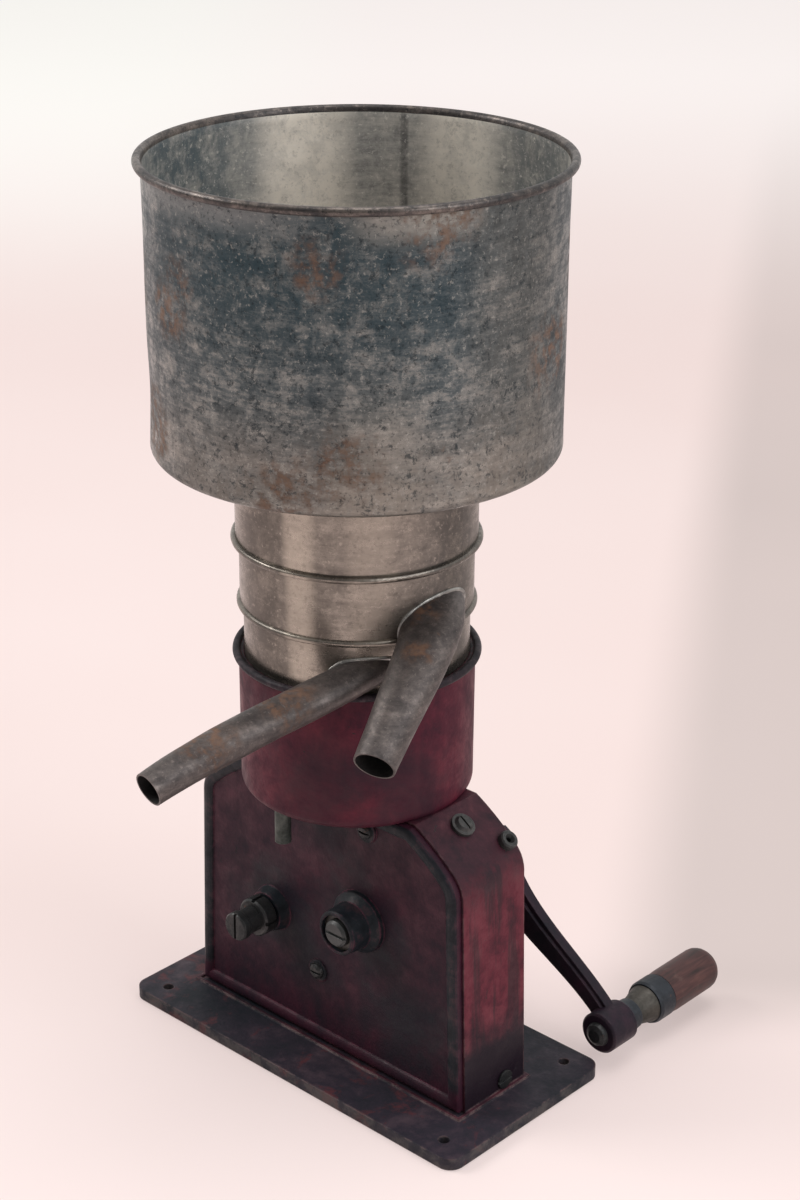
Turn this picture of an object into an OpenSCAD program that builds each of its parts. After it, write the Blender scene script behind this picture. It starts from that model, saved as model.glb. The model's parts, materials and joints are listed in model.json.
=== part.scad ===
// Table-top hand-crank cream separator.
// +Z is up, the front cover faces -Y and the crank turns on the +Y side.
// The origin is the centre of the base plate's underside.

/* [Base plate] */
// Length of the base plate
plate_len = 260; // [245:1:300]
// Width of the base plate
plate_wid = 131; // [120:1:150]
// Thickness of the base plate
plate_t = 7; // [5:0.5:10]
// Corner radius of the base plate
plate_corner_r = 9; // [4:1:16]
// Distance between the screw holes along the plate
hole_dx = 225; // [218:1:235]
// Distance between the screw holes across the plate
hole_dy = 104; // [96:1:110]
// Radius of the screw holes
hole_r = 3.2; // [2:0.1:4.5]
// Height of the lip round the foot of the gear case
lip_h = 1; // [0.5:0.5:4]
// Width of the lip round the foot of the gear case
lip_w = 2.5; // [1:0.5:5]

/* [Gear case] */
// Half length of the gear case at its foot
case_foot_x = 105; // [103:0.5:108]
// Half length of the gear case at its shoulders
case_x = 101; // [99:0.5:104]
// Distance from the middle of the plate to the crest of the front cover's bead
case_front = 31.5; // [30:0.5:34]
// Distance from the middle of the plate to the back of the gear case
case_back = 25; // [24.5:0.5:28]
// Wall of the gear case
case_wall = 5; // [3.5:0.5:6]
// Height of the flat seat that carries the bowl casing
case_top = 176; // [174:1:184]
// Height that the crown of the case would reach without the flat seat
crown_top = 192; // [190:1:198]
// Radius of the crown of the case
crown_r = 140; // [130:1:160]
// Radius of the shoulders of the case
shoulder_r = 20; // [14:1:26]
// Thickness of the field of the front cover
cover_t = 3.5; // [3:0.5:5]
// Height of the rounded bead round the front cover
cover_rim_h = 2; // [1:0.25:3]
// Width of the rounded bead round the front cover
cover_rim_w = 8; // [5:0.5:10]
// Gap between the edge of the front cover and the edge of the case
cover_gap = 1.5; // [0.5:0.25:3]

/* [Gears] */
// Module of the spur gears
gear_m = 1.4; // [1.2:0.1:1.45]
// Teeth of the large gear on the crank shaft
gear_teeth = 84; // [72:1:86]
// Teeth of the pinion on the wheel shaft
pinion_teeth = 20; // [16:1:22]
// Face width of the large gear
gear_w = 8; // [5:0.5:9]
// Axial module of the worm and the worm wheel
worm_m = 1; // [0.9:0.05:1.05]
// Teeth of the worm wheel
wheel_teeth = 72; // [64:1:74]
// Starts of the worm
worm_starts = 4; // [3:1:5]
// Pitch radius of the worm
worm_r = 6.5; // [6:0.25:7]
// Length of the worm
worm_len = 34; // [26:1:40]
// Face width of the worm wheel
wheel_w = 10; // [7:0.5:12]
// Height of the wheel shaft above the table
wheel_z = 82; // [78:1:86]
// Height of the crank shaft above the wheel shaft
crank_rise = 20; // [16:1:24]
// Thinning of each tooth at its pitch line, which leaves the backlash
tooth_slack = 0.22; // [0.15:0.01:0.3]

/* [Shafts and bearings] */
// Distance of the spindle from the middle of the case, towards the front
spindle_fwd = 3; // [2:0.5:4]
// Radius of the spindle
spindle_r = 4.5; // [4:0.25:5]
// Radius of the crank shaft
crank_shaft_r = 8; // [7:0.25:9]
// Radius of the wheel shaft
wheel_shaft_r = 5; // [4.5:0.25:6]
// Radial running clearance of every shaft in its bearing
run_gap = 0.06; // [0.02:0.01:0.1]
// Wall of the bearing bushes
bush_wall = 3; // [2:0.25:3.5]
// Length of the front boss of the crank shaft
front_boss_len = 18; // [14:0.5:24]
// Radius of the front boss at its end
front_boss_r = 13.4; // [12.5:0.1:15]
// Radius of the front boss at its root
front_boss_root_r = 18.5; // [16:0.5:20]
// Length of the rear boss of the crank shaft
rear_boss_len = 34; // [34:1:40]
// Length of the bearing sleeve that stands out of the front cover
sleeve_len = 29.5; // [24:0.5:36]
// Radius of the bearing sleeve
sleeve_r = 7.6; // [7.2:0.1:9]

/* [Crank] */
// Distance from the crank shaft to the handle pin
crank_reach = 124.5; // [110:0.5:135]
// Angle of the crank below the horizontal, as it rests
crank_rest = 40.5; // [30:0.5:50]
// Width of the crank arm at its outer end
arm_w = 13; // [10:0.5:16]
// Extra width of the crank arm at its hub
arm_flare = 18; // [10:1:20]
// Thickness of the crank arm
arm_t = 8.5; // [6:0.5:10]
// Radius of the crank hub
hub_r = 17; // [15:0.5:20]
// Length of the crank hub
hub_len = 26; // [22:1:30]
// Radius of the boss at the end of the arm
arm_boss_r = 12.5; // [10:0.5:14]
// Radius of the handle pin
pin_r = 5; // [4:0.25:6]
// Radius of the wooden grip at its thickest
grip_r = 13.2; // [11:0.2:15]
// Length of the wooden grip
grip_len = 74; // [60:1:90]

/* [Bowl casing] */
// Outside radius of the bowl casing
casing_r = 65.5; // [65:0.25:67]
// Wall of the bowl casing
casing_wall = 2.9; // [2.5:0.1:3.2]
// Floor thickness of the bowl casing
casing_floor = 5; // [4:0.5:7]
// Height of the rim of the bowl casing above the table
casing_top = 257.4; // [255:0.2:258]
// Radius of the roll along the rim
casing_roll_r = 2.2; // [1.5:0.1:2.5]
// Depth of the seat of the skim cover below the rim
casing_seat = 13; // [8:1:16]
// Depth by which the casing's edge hangs below the flat top of the gear case
casing_drop = 2; // [1:0.5:3]
// Length of the drain pipe under the casing's floor
drain_len = 26; // [16:1:30]
// Radius of the rounded bottom edge of the casing
casing_edge_r = 6; // [3:0.5:8]

/* [Tinware] */
// Sheet thickness of the tinned covers and the can
sheet = 1; // [0.8:0.1:1.2]
// Outside radius of the skim milk cover
skim_r = 62.3; // [61.8:0.1:62.4]
// Outside radius of the cream cover
cream_r = 64.2; // [63.9:0.1:64.4]
// Outside radius of the float chamber
chamber_r = 66; // [65.9:0.1:66.5]
// Height of the roll where the cream cover meets the skim cover
cream_z = 285.4; // [285:0.2:287]
// Height of the roll where the float chamber meets the cream cover
chamber_z = 322.7; // [321:0.2:326]
// Height of the underside of the supply can
can_z = 373.5; // [371:0.5:382]
// Outside radius of the supply can
can_r = 110; // [100:1:120]
// Height of the top edge of the supply can
can_top = 531.5; // [500:0.5:560]
// Radius of the wired rolls round the covers
roll_r = 2; // [1.5:0.1:2.2]
// Radius of the wired roll round the can
can_roll_r = 2.4; // [1.8:0.1:3]
// Radius of the rounded bottom edge of the can
can_edge_r = 5; // [3:0.5:12]

/* [Spouts] */
// Radius of the skim milk spout at its mouth
skim_mouth_r = 9.4; // [8:0.2:11]
// Half width of the skim milk spout at its root
skim_root_w = 12; // [10:0.2:12.4]
// Half height of the skim milk spout at its root
skim_root_h = 7; // [6:0.2:7.4]
// Radius of the cream spout at its mouth
cream_mouth_r = 11.4; // [9:0.2:12.5]
// Half width of the cream spout at its root
cream_root_w = 17.5; // [14:0.25:18]
// Half height of the cream spout at its root
cream_root_h = 9; // [8:0.25:10]
// Swelling of both spouts half way along
spout_swell = 1.2; // [0:0.1:1.4]
// Mouth of the skim milk spout, measured from the spindle along X
skim_mouth_x = 30; // [22:1:40]
// Mouth of the skim milk spout, measured from the spindle towards the front
skim_mouth_y = 182; // [150:1:200]
// Drop of the skim milk spout from its root to its mouth
skim_drop = 27.7; // [22:0.1:36]
// Mouth of the cream spout, measured from the spindle along X
cream_mouth_x = 95; // [88:1:104]
// Mouth of the cream spout, measured from the spindle towards the front
cream_mouth_y = 87; // [78:1:100]
// Drop of the cream spout from its root to its mouth
cream_drop = 52; // [44:1:60]

/* [Bowl] */
// Outside radius of the bowl
bowl_r = 48; // [42:0.5:52]
// Wall of the bowl
bowl_wall = 3.5; // [2.5:0.25:4]
// Height of the bowl's floor above the floor of the casing
bowl_lift = 16; // [14:1:18]
// Height of the straight part of the bowl
bowl_straight = 40; // [32:1:44]
// Radius of the lower neck of the hood, which throws off the skim milk
neck_r = 26; // [24:0.5:27]
// Radius of the upper neck of the hood, which throws off the cream
cream_neck_r = 17; // [16:0.5:17.5]
// Number of separating discs
disc_count = 9; // [5:1:11]
// Radius of the float
float_r = 52; // [44:1:56]
// Height of the float
float_h = 14; // [10:1:16]

/* [Hidden] */
$fn = 96;
eps = 0.01;

// Case
front_y = -case_front;
back_y = case_back;
field_y = front_y + cover_rim_h;
seat_y = field_y + cover_t;
inner_back_y = back_y - case_wall;
crown_cz = crown_top - crown_r;
floor_z = plate_t;

// Gear train: the worm sets the wheel shaft, the spur pair sets the crank shaft
wheel_r = worm_m * wheel_teeth / 2;
wheel_x = -(wheel_r + worm_r);
spur_dist = gear_m * (gear_teeth + pinion_teeth) / 2;
crank_x = wheel_x + sqrt(spur_dist * spur_dist - crank_rise * crank_rise);
crank_z = wheel_z + crank_rise;
mesh_angle = atan2(-crank_rise, wheel_x - crank_x);
worm_lead = PI * worm_m * worm_starts;
spindle_y = -spindle_fwd;
gear_y0 = spindle_y + worm_r + worm_m + 2.5;
gear_y1 = gear_y0 + gear_w;
pressure = 20;
addendum = 1;
dedendum = 1.25;

// Crank
rear_boss_y = back_y + rear_boss_len;
hub_y0 = rear_boss_y + 4;
hub_y1 = hub_y0 + hub_len;
arm_y1 = hub_y1 - 1.5;
arm_y0 = arm_y1 - arm_t;
boss_y0 = arm_y0 - 8;
boss_y1 = arm_y1 + 5.5;
pin_x = crank_x + crank_reach * cos(crank_rest);
pin_z = crank_z - crank_reach * sin(crank_rest);
collar_len = 8;
grip_y0 = boss_y1 + collar_len + 1;
grip_y1 = grip_y0 + grip_len;

// Bowl casing and bowl
casing_in_r = casing_r - casing_wall;
casing_low_r = casing_in_r - 3;
casing_floor_z = case_top + casing_floor;
seat_z = casing_top - casing_seat;
bowl_z = casing_floor_z + bowl_lift;
bowl_shoulder_z = bowl_z + bowl_straight;
neck_z = bowl_shoulder_z + (bowl_r - neck_r);
neck_top_z = neck_z + 22;
cream_neck_z = neck_top_z + 22;
bowl_nut_h = 8;
feed_r = 8;
feed_low_z = bowl_z + 17;

// Tinware
skim_floor_z = casing_top + 7;
cream_floor_z = cream_z + 4;
chamber_floor_z = chamber_z + 6;
skim_hole_r = neck_r + 4;
cream_hole_r = cream_neck_r + 4;
nozzle_r = 4;
tap_r = 9;
tap_len = 12;

function polar(r, a) = [r * cos(a), r * sin(a)];
function arc(c, r, a0, a1, n) = [for (i = [0:n]) c + polar(r, a0 + (a1 - a0) * i / n)];
function flip_x(pts) = [for (i = [len(pts) - 1:-1:0]) [-pts[i][0], pts[i][1]]];
function unit(v) = v / norm(v);
function inv_deg(a) = tan(a) * 180 / PI - a;

// Right half of the case's outline, seen from the front and inset by d
function case_half(d, z0) =
    let (xc = case_x - shoulder_r, zc = crown_cz + sqrt(pow(crown_r - shoulder_r, 2) - xc * xc),
        a1 = atan2(zc - crown_cz, xc), a2 = asin((case_top - d - crown_cz) / (crown_r - d)))
    concat([[case_foot_x - d, z0]], arc([xc, zc], shoulder_r - d, 0, a1, 12),
        [for (i = [1:9]) [0, crown_cz] + polar(crown_r - d, mix(a1, a2, i / 9))]);
function case_outline(d, z0) = concat(case_half(d, z0), flip_x(case_half(d, z0)));
function left_of(a, b) = [a[1] - b[1], b[0] - a[0]] / norm(b - a);
function mitre(p, i) =
    let (n1 = left_of(p[max(i - 1, 0)], p[max(i, 1)]),
        n2 = left_of(p[min(i, len(p) - 2)], p[min(i + 1, len(p) - 1)]))
    (n1 + n2) / (1 + n1 * n2);
// Outline of a sheet of thickness t on the left of the path p
function ribbon(p, t) = concat(p, [for (i = [len(p) - 1:-1:0]) p[i] + t * mitre(p, i)]);
function crown_z(x) = crown_cz + sqrt(crown_r * crown_r - x * x);

// Cylinder along Y from y0 to y1
module y_rod(x, z, y0, y1, r, r_end = -1) {
    translate([x, y0, z]) rotate([-90, 0, 0])
        cylinder(h = y1 - y0, r1 = r, r2 = r_end < 0 ? r : r_end);
}

// Revolved profile of points [radius, distance along Y]
module y_turned(x, z, pts) {
    translate([x, 0, z]) rotate([-90, 0, 0]) rotate_extrude() polygon(pts);
}

// The case's outline as a slab from y0 to y1
module case_slab(d, z0, y0, y1) {
    translate([0, y1, 0]) rotate([90, 0, 0]) linear_extrude(y1 - y0) polygon(case_outline(d, z0));
}

// Revolved profile of points [radius, z] about the spindle
module spun(pts) {
    translate([0, spindle_y, 0]) rotate_extrude() polygon(pts);
}

module at_spindle() {
    translate([0, spindle_y, 0]) children();
}

// Wired roll round a sheet edge
module roll(r, z, roll_radius) {
    at_spindle() rotate_extrude() translate([r, z]) circle(r = roll_radius, $fn = 24);
}

// Tube of elliptical rings; each ring is [centre, direction, half width, half height]
module loft(rings, sides = 28) {
    pts = [for (k = rings)
        let (side = unit(cross([0, 0, 1], k[1])), up = cross(unit(k[1]), side))
        for (i = [0:sides - 1])
            k[0] + side * k[2] * cos(360 * i / sides) + up * k[3] * sin(360 * i / sides)];
    last = (len(rings) - 1) * sides;
    walls = [for (j = [0:len(rings) - 2], i = [0:sides - 1])
        let (a = j * sides + i, b = j * sides + (i + 1) % sides)
        each [[a, b + sides, b], [a, a + sides, b + sides]]];
    polyhedron(pts, concat([[for (i = [0:sides - 1]) i]], walls,
        [[for (i = [sides - 1:-1:0]) last + i]]), convexity = 4);
}

// ---------------------------------------------------------------- frame

module plate_blank(grow, z0, h) {
    lx = plate_len / 2 - plate_corner_r + grow;
    ly = plate_wid / 2 - plate_corner_r + grow;
    translate([0, 0, z0]) {
        translate([-lx, -ly - plate_corner_r, 0]) cube([2 * lx, 2 * (ly + plate_corner_r), h]);
        translate([-lx - plate_corner_r, -ly, 0]) cube([2 * (lx + plate_corner_r), 2 * ly, h]);
        for (sx = [-1, 1], sy = [-1, 1]) translate([sx * lx, sy * ly, 0])
            cylinder(h = h, r = plate_corner_r);
    }
}

module gear_case() {
    bush_r = spindle_r + run_gap + bush_wall;
    color("darkred") difference() {
        union() {
            plate_blank(0, 0, plate_t);
            translate([-case_foot_x - lip_w, front_y - lip_w, plate_t - eps])
                cube([2 * (case_foot_x + lip_w), back_y - front_y + 2 * lip_w, lip_h + eps]);
            case_slab(0, plate_t, seat_y, back_y);
            y_rod(crank_x, crank_z, back_y - eps, rear_boss_y, 19, 15);
            y_rod(wheel_x, wheel_z, back_y - eps, back_y + 7, 13, 12);
        }
        difference() {
            case_slab(case_wall, floor_z, seat_y - 1, inner_back_y);
            at_spindle() translate([0, 0, neck_low_z]) cylinder(h = 20, r = neck_ring_r + 4);
            at_spindle() translate([0, 0, floor_z - 1]) cylinder(h = 11, r = bush_r + 6);
            y_rod(crank_x, crank_z, inner_back_y - 2.5, inner_back_y + 1, 17);
            y_rod(wheel_x, wheel_z, inner_back_y - 1.5, inner_back_y + 1, 12);
            translate([cover_screw_x - 6, seat_y - 2, cover_screw_z - 6]) cube([12, 14, 30]);
        }
        translate([-case_foot_x - 0.4, front_y - 0.4, plate_t])
            cube([2 * case_foot_x + 0.8, seat_y - front_y + 0.4, lip_h + 1]);
        at_spindle() translate([0, 0, neck_low_z + 3]) cylinder(h = 40, r = neck_ring_r);
        at_spindle() translate([0, 0, floor_z]) cylinder(h = case_top, r = bush_r);
        y_rod(crank_x, crank_z, inner_back_y - 4, rear_boss_y + 1, crank_shaft_r + run_gap + bush_wall);
        y_rod(wheel_x, wheel_z, inner_back_y - 4, back_y + 4, wheel_shaft_r + run_gap + bush_wall);
        y_rod(cover_screw_x, cover_screw_z, seat_y - 3, seat_y + 9, 2);
        translate([case_foot_x - case_wall - 8, drain_plug_y, drain_plug_z]) rotate([0, 90, 0])
            cylinder(h = 30, r = drain_bore_r);
        on_crown(oil_cap_x, 0) translate([0, 0, -20]) cylinder(h = 24, r = 3.5);
        on_crown(oil_cup_x, oil_cup_y) translate([0, 0, -12]) cylinder(h = 16, r = oil_cup_shank_r);
        for (sx = [-1, 1], sy = [-1, 1]) translate([sx * hole_dx / 2, sy * hole_dy / 2, -1])
            cylinder(h = plate_t + 2, r = hole_r);
        casing_screw_places() translate([0, 0, case_top - case_wall - 5]) cylinder(h = 20, r = 2);
    }
}
cover_screw_x = 33;
cover_screw_z = case_top - case_wall - 9;
drain_plug_y = 7.7;
drain_plug_z = plate_t + 6.7;
drain_bore_r = 4;
oil_cap_x = 76.5;
oil_cup_x = 92;
oil_cup_y = back_y - 5.6;
oil_cup_shank_r = 3;
neck_ring_r = spindle_r + run_gap + bush_wall + 4;
neck_low_z = case_top - 12;

// Places children on the crown of the case at x and y, with +Z square to its surface
module on_crown(x, y) {
    translate([x, y, crown_z(x)]) rotate([0, asin(x / crown_r), 0]) children();
}

module casing_screw_places() {
    at_spindle() for (sx = [-1, 1]) translate([sx * 38, 0, 0]) children();
}

// Rounded bead that follows the edge of the cover all the way round
module cover_bead(root) {
    half = cover_rim_w / 2;
    section = concat([[cover_gap, field_y + root]],
        [for (a = [0:30:180]) [cover_gap + half - half * cos(a), field_y - cover_rim_h * sin(a)]],
        [[cover_gap + cover_rim_w, field_y + root]]);
    loops = [for (c = section) [for (p = case_outline(c[0], plate_t + 0.3 + c[0])) [p[0], c[1], p[1]]]];
    m = len(section);
    n = len(loops[0]);
    polyhedron([for (loop = loops) each loop], [for (j = [0:m - 1], i = [0:n - 1])
        let (a = j * n, b = (j + 1) % m * n, k = (i + 1) % n)
        each [[a + i, b + i, a + k], [a + k, b + i, b + k]]], convexity = 6);
}

module front_cover() {
    boss_y = front_y - front_boss_len;
    back = field_y + eps;
    color("maroon") difference() {
        union() {
            case_slab(cover_gap, plate_t + 0.3 + cover_gap, field_y, seat_y);
            cover_bead(1);
            y_turned(crank_x, crank_z, [[0, boss_y], [front_boss_r - 1, boss_y], [front_boss_r, boss_y + 1],
                [front_boss_r + 0.8, field_y - 7], [front_boss_root_r, field_y - 3],
                    [front_boss_root_r, back], [0, back]]);
            y_rod(wheel_x, wheel_z, field_y - 7, back, 12, 14);
            y_rod(crank_x, crank_z, seat_y - eps, seat_y + 3, 16);
            y_rod(level_x, level_z, field_y - 1, back, 7);
            y_rod(cover_screw_x, cover_screw_z, field_y - 1.5, back, 7);
        }
        y_rod(crank_x, crank_z, boss_y - 1, seat_y + 4, crank_shaft_r + run_gap + bush_wall);
        y_rod(wheel_x, wheel_z, field_y - 8, seat_y + 1, sleeve_r);
        y_rod(level_x, level_z, field_y - 2, seat_y + 1, 3);
        y_rod(cover_screw_x, cover_screw_z, field_y - 3, seat_y + 1, 2.4);
    }
}
level_x = -6;
level_z = 55;

// Slotted round-head screw along Y; the head stands towards the front
module y_screw(x, z, y_face, head_r, head_h, shank_r, shank_len) {
    difference() {
        union() {
            y_turned(x, z, [[0, y_face - head_h], [head_r * 0.6, y_face - head_h * 0.92],
                [head_r * 0.9, y_face - head_h * 0.55],
                [head_r, y_face], [0, y_face]]);
            y_rod(x, z, y_face - eps, y_face + shank_len, shank_r);
        }
        translate([x - head_r, y_face - head_h - 1, z - 0.6]) cube([2 * head_r, 1 + head_h * 0.5, 1.2]);
    }
}

module cover_screw() {
    color("dimgray") y_screw(cover_screw_x, cover_screw_z, field_y - 1.5, 4.6, 2.8, 2, 12);
}

module oil_level_plug() {
    color("dimgray") y_screw(level_x, level_z, field_y - 1, 5, 3, 3, cover_t + 1);
}

module drain_plug() {
    color("dimgray") translate([case_foot_x, drain_plug_y, drain_plug_z]) rotate([0, 90, 0]) difference() {
        union() {
            cylinder(h = 1.2, r = drain_bore_r + 1.6);
            translate([0, 0, -case_wall - 2]) cylinder(h = case_wall + 3, r = drain_bore_r);
        }
        translate([-0.8, -10, 0.4]) cube([1.6, 20, 2]);
    }
}

module oil_cap() {
    color("gray") on_crown(oil_cap_x, 0) difference() {
        union() {
            cylinder(h = 2.2, r = 7);
            translate([0, 0, 2.2 - eps]) cylinder(h = 2.2, r1 = 5.5, r2 = 4);
        }
        translate([-8, -0.6, 3.2]) cube([16, 1.2, 3]);
    }
}

// Round oiler on the back edge of the case, with an oil hole down its middle
module oil_cup() {
    r = oil_cup_shank_r;
    color("gray") on_crown(oil_cup_x, oil_cup_y) rotate_extrude()
        polygon([[1.6, -9], [r, -9], [r, 0], [r + 2.4, 0], [r + 2.4, 3.6], [r + 1.6, 4.6], [r, 4.6],
            [1.6, 2.6]]);
}

module bowl_casing() {
    h = casing_top - casing_roll_r;
    low_z = case_top - casing_drop;
    color("firebrick") difference() {
        union() {
            spun(concat([[0, low_z]], arc([casing_r - casing_edge_r - 0.2, low_z + casing_edge_r],
                casing_edge_r, -90, 0, 9),
                [[casing_r, h], [0, h]]));
            roll(casing_r + 1.2, h, casing_roll_r);
        }
        spun(concat([[0, casing_floor_z]], arc([casing_low_r - 4, casing_floor_z + 4], 4, -90, 0, 5),
            [[casing_low_r, seat_z], [casing_in_r, seat_z], [casing_in_r, casing_top + 1],
                [0, casing_top + 1]]));
        translate([-casing_r - 1, front_y - 0.4, low_z - 1])
            cube([2 * casing_r + 2, back_y - front_y + 0.8, casing_drop + 1]);
        at_spindle() translate([0, 0, low_z - 1])
            cylinder(h = casing_floor + casing_drop + 2, r = neck_ring_r);
        casing_screw_places() translate([0, 0, case_top - 1]) cylinder(h = casing_floor + 2, r = 2.4);
        translate([drain_x, drain_y, low_z - 1]) cylinder(h = casing_floor + casing_drop + 2, r = 3.4);
    }
}
drain_x = -8;
drain_y = spindle_y - (casing_low_r - 8);

module drain_pipe() {
    color("silver") difference() {
        translate([drain_x, drain_y, case_top - drain_len]) union() {
            cylinder(h = drain_len - casing_drop, r = 4.6);
            cylinder(h = drain_len + casing_floor, r = 3.4);
        }
        translate([drain_x, drain_y, case_top - drain_len - 1])
            cylinder(h = drain_len + casing_floor + 2, r = 2.6);
    }
}

module casing_screws() {
    color("dimgray") casing_screw_places() translate([0, 0, casing_floor_z]) difference() {
        union() {
            cylinder(h = 2.6, r1 = 5, r2 = 3.6);
            translate([0, 0, -casing_floor - 9]) cylinder(h = casing_floor + 9 + eps, r = 2);
        }
        translate([-6, -0.6, 1.4]) cube([12, 1.2, 3]);
    }
}

// ---------------------------------------------------------------- bearings

module neck_bush() {
    r = spindle_r + run_gap;
    color("goldenrod") spun([[r, case_top - 19], [r + bush_wall, case_top - 19],
        [r + bush_wall, casing_floor_z + 3], [r, casing_floor_z + 3]]);
}

module neck_ring() {
    r = spindle_r + run_gap + bush_wall;
    color("black") spun([[r, neck_low_z + 3], [neck_ring_r, neck_low_z + 3],
        [neck_ring_r, casing_floor_z - 1], [r, casing_floor_z - 1]]);
}

module neck_cap() {
    r = spindle_r + run_gap + bush_wall;
    color("gray") spun([[r, casing_floor_z - 1], [neck_ring_r, casing_floor_z - 1],
        [neck_ring_r, casing_floor_z],
        [neck_ring_r + 8, casing_floor_z], [neck_ring_r + 7, casing_floor_z + 3.5],
            [r + 1.5, casing_floor_z + 5], [r, casing_floor_z + 5]]);
}

ball_r = 3.5;
foot_top_z = floor_z + 14;

module footstep_cup() {
    r = spindle_r + run_gap;
    color("goldenrod") spun([[0, floor_z], [r + bush_wall, floor_z], [r + bush_wall, foot_top_z],
        [r, foot_top_z],
        [r, floor_z + 3], [0, floor_z + 3]]);
}

module thrust_ball() {
    color("silver") at_spindle() translate([0, 0, floor_z + 3 + ball_r]) sphere(r = ball_r);
}

module crank_bushes() {
    r = crank_shaft_r + run_gap;
    color("goldenrod") {
        y_turned(crank_x, crank_z, [[r, front_y - front_boss_len + 3],
            [r + bush_wall, front_y - front_boss_len + 3],
            [r + bush_wall, seat_y + 3], [r, seat_y + 3]]);
        y_turned(crank_x, crank_z, [[r, inner_back_y - 2.5], [r + bush_wall, inner_back_y - 2.5],
            [r + bush_wall, rear_boss_y], [r, rear_boss_y]]);
    }
}

module bearing_sleeve() {
    r = wheel_shaft_r + run_gap;
    y0 = front_y - sleeve_len;
    color("darkslategray") difference() {
        y_turned(wheel_x, wheel_z, [[r, y0 + 4], [0, y0 + 4], [0, y0], [sleeve_r + 0.2, y0],
            [sleeve_r + 1, y0 + 1],
            [sleeve_r + 1, y0 + 5], [sleeve_r, y0 + 6], [sleeve_r, seat_y + 2], [r, seat_y + 2]]);
        translate([wheel_x - 1, y0 - 1, wheel_z - 12]) cube([2, 2.6, 24]);
    }
}

module sleeve_lock_nut() {
    color("dimgray") difference() {
        y_turned(wheel_x, wheel_z, [[sleeve_r, front_y - 15], [sleeve_r + 3, front_y - 15],
            [sleeve_r + 4, front_y - 14],
            [sleeve_r + 4, front_y - 7], [sleeve_r + 3, front_y - 6], [sleeve_r, front_y - 6]]);
        for (a = [0:90:270]) translate([wheel_x, front_y - 10.5, wheel_z]) rotate([0, a, 0])
            translate([sleeve_r + 2.6, -6, -1.2]) cube([4, 12, 2.4]);
    }
}

module rear_wheel_bush() {
    r = wheel_shaft_r + run_gap;
    color("goldenrod") y_turned(wheel_x, wheel_z,
        [[r, inner_back_y - 1.5], [r + bush_wall, inner_back_y - 1.5],
        [r + bush_wall, back_y + 4], [r, back_y + 4]]);
}

// ---------------------------------------------------------------- gears

// Half angle of a spur tooth at radius r, for z teeth of module m
function tooth_half(z, m, r) =
    let (rp = z * m / 2, rb = rp * cos(pressure), a = r > rb ? acos(rb / r) : 0)
    90 / z + inv_deg(pressure) - inv_deg(a) - tooth_slack / 2 / rp * 180 / PI;
// One spur tooth, from its root up one flank and down the other
function spur_tooth(z, m, c) =
    let (rp = z * m / 2, r0 = rp - dedendum * m, r1 = rp + addendum * m, rb = max(rp * cos(pressure), r0),
        up = [for (i = [0:3]) rb + (r1 - rb) * i / 3])
    concat([polar(r0, c - tooth_half(z, m, rb))], [for (r = up) polar(r, c - tooth_half(z, m, r))],
        [for (i = [3:-1:0]) polar(up[i], c + tooth_half(z, m, up[i]))],
            [polar(r0, c + tooth_half(z, m, rb))]);
function spur_outline(z, m) = [for (k = [0:z - 1]) each spur_tooth(z, m, 360 * k / z)];

// Spur gear with its axis along Y; a tooth points along the angle phase
module spur_gear(x, z, teeth, m, y0, y1, phase) {
    translate([x, y1, z]) rotate([90, 0, 0]) rotate([0, 0, phase]) linear_extrude(y1 - y0)
        polygon(spur_outline(teeth, m));
}

module drive_gear() {
    root_r = gear_m * (gear_teeth / 2 - dedendum);
    rim_r = root_r - 5;
    web_r = (rim_r + 15) / 2;
    color("lightslategray") difference() {
        union() {
            spur_gear(crank_x, crank_z, gear_teeth, gear_m, gear_y0, gear_y1, mesh_angle);
            y_rod(crank_x, crank_z, gear_y0 - 5, gear_y1 + 1.5, 14);
        }
        difference() {
            y_rod(crank_x, crank_z, gear_y0 - 1, gear_y0 + 2, rim_r);
            y_rod(crank_x, crank_z, gear_y0 - 2, gear_y0 + 3, 14);
        }
        for (a = [0:60:300]) translate([crank_x, gear_y0 - 1, crank_z]) rotate([0, a, 0])
            translate([web_r, 0, 0]) rotate([-90, 0, 0])
                cylinder(h = gear_w + 2, r = (rim_r - 15) / 2 - 2.5);
        y_rod(crank_x, crank_z, gear_y0 - 6, gear_y1 + 3, crank_shaft_r);
    }
}

module pinion() {
    color("lightslategray") difference() {
        union() {
            spur_gear(wheel_x, wheel_z, pinion_teeth, gear_m, gear_y0 - 0.5, gear_y1 + 0.5,
                mesh_angle + 180 + 180 / pinion_teeth);
            y_rod(wheel_x, wheel_z, gear_y0 - 2.5, gear_y0, 9);
        }
        y_rod(wheel_x, wheel_z, gear_y0 - 3, gear_y1 + 2, wheel_shaft_r);
    }
}

// Tooth of the worm wheel in its middle plane
function wheel_tooth(c) =
    let (r0 = wheel_r - dedendum * worm_m, r1 = wheel_r + addendum * worm_m, up = [r0, wheel_r, r1])
    concat([for (r = up) polar(r, c - tooth_half(wheel_teeth, worm_m, r))],
        [for (i = [2:-1:0]) polar(up[i], c + tooth_half(wheel_teeth, worm_m, up[i]))]);

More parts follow.
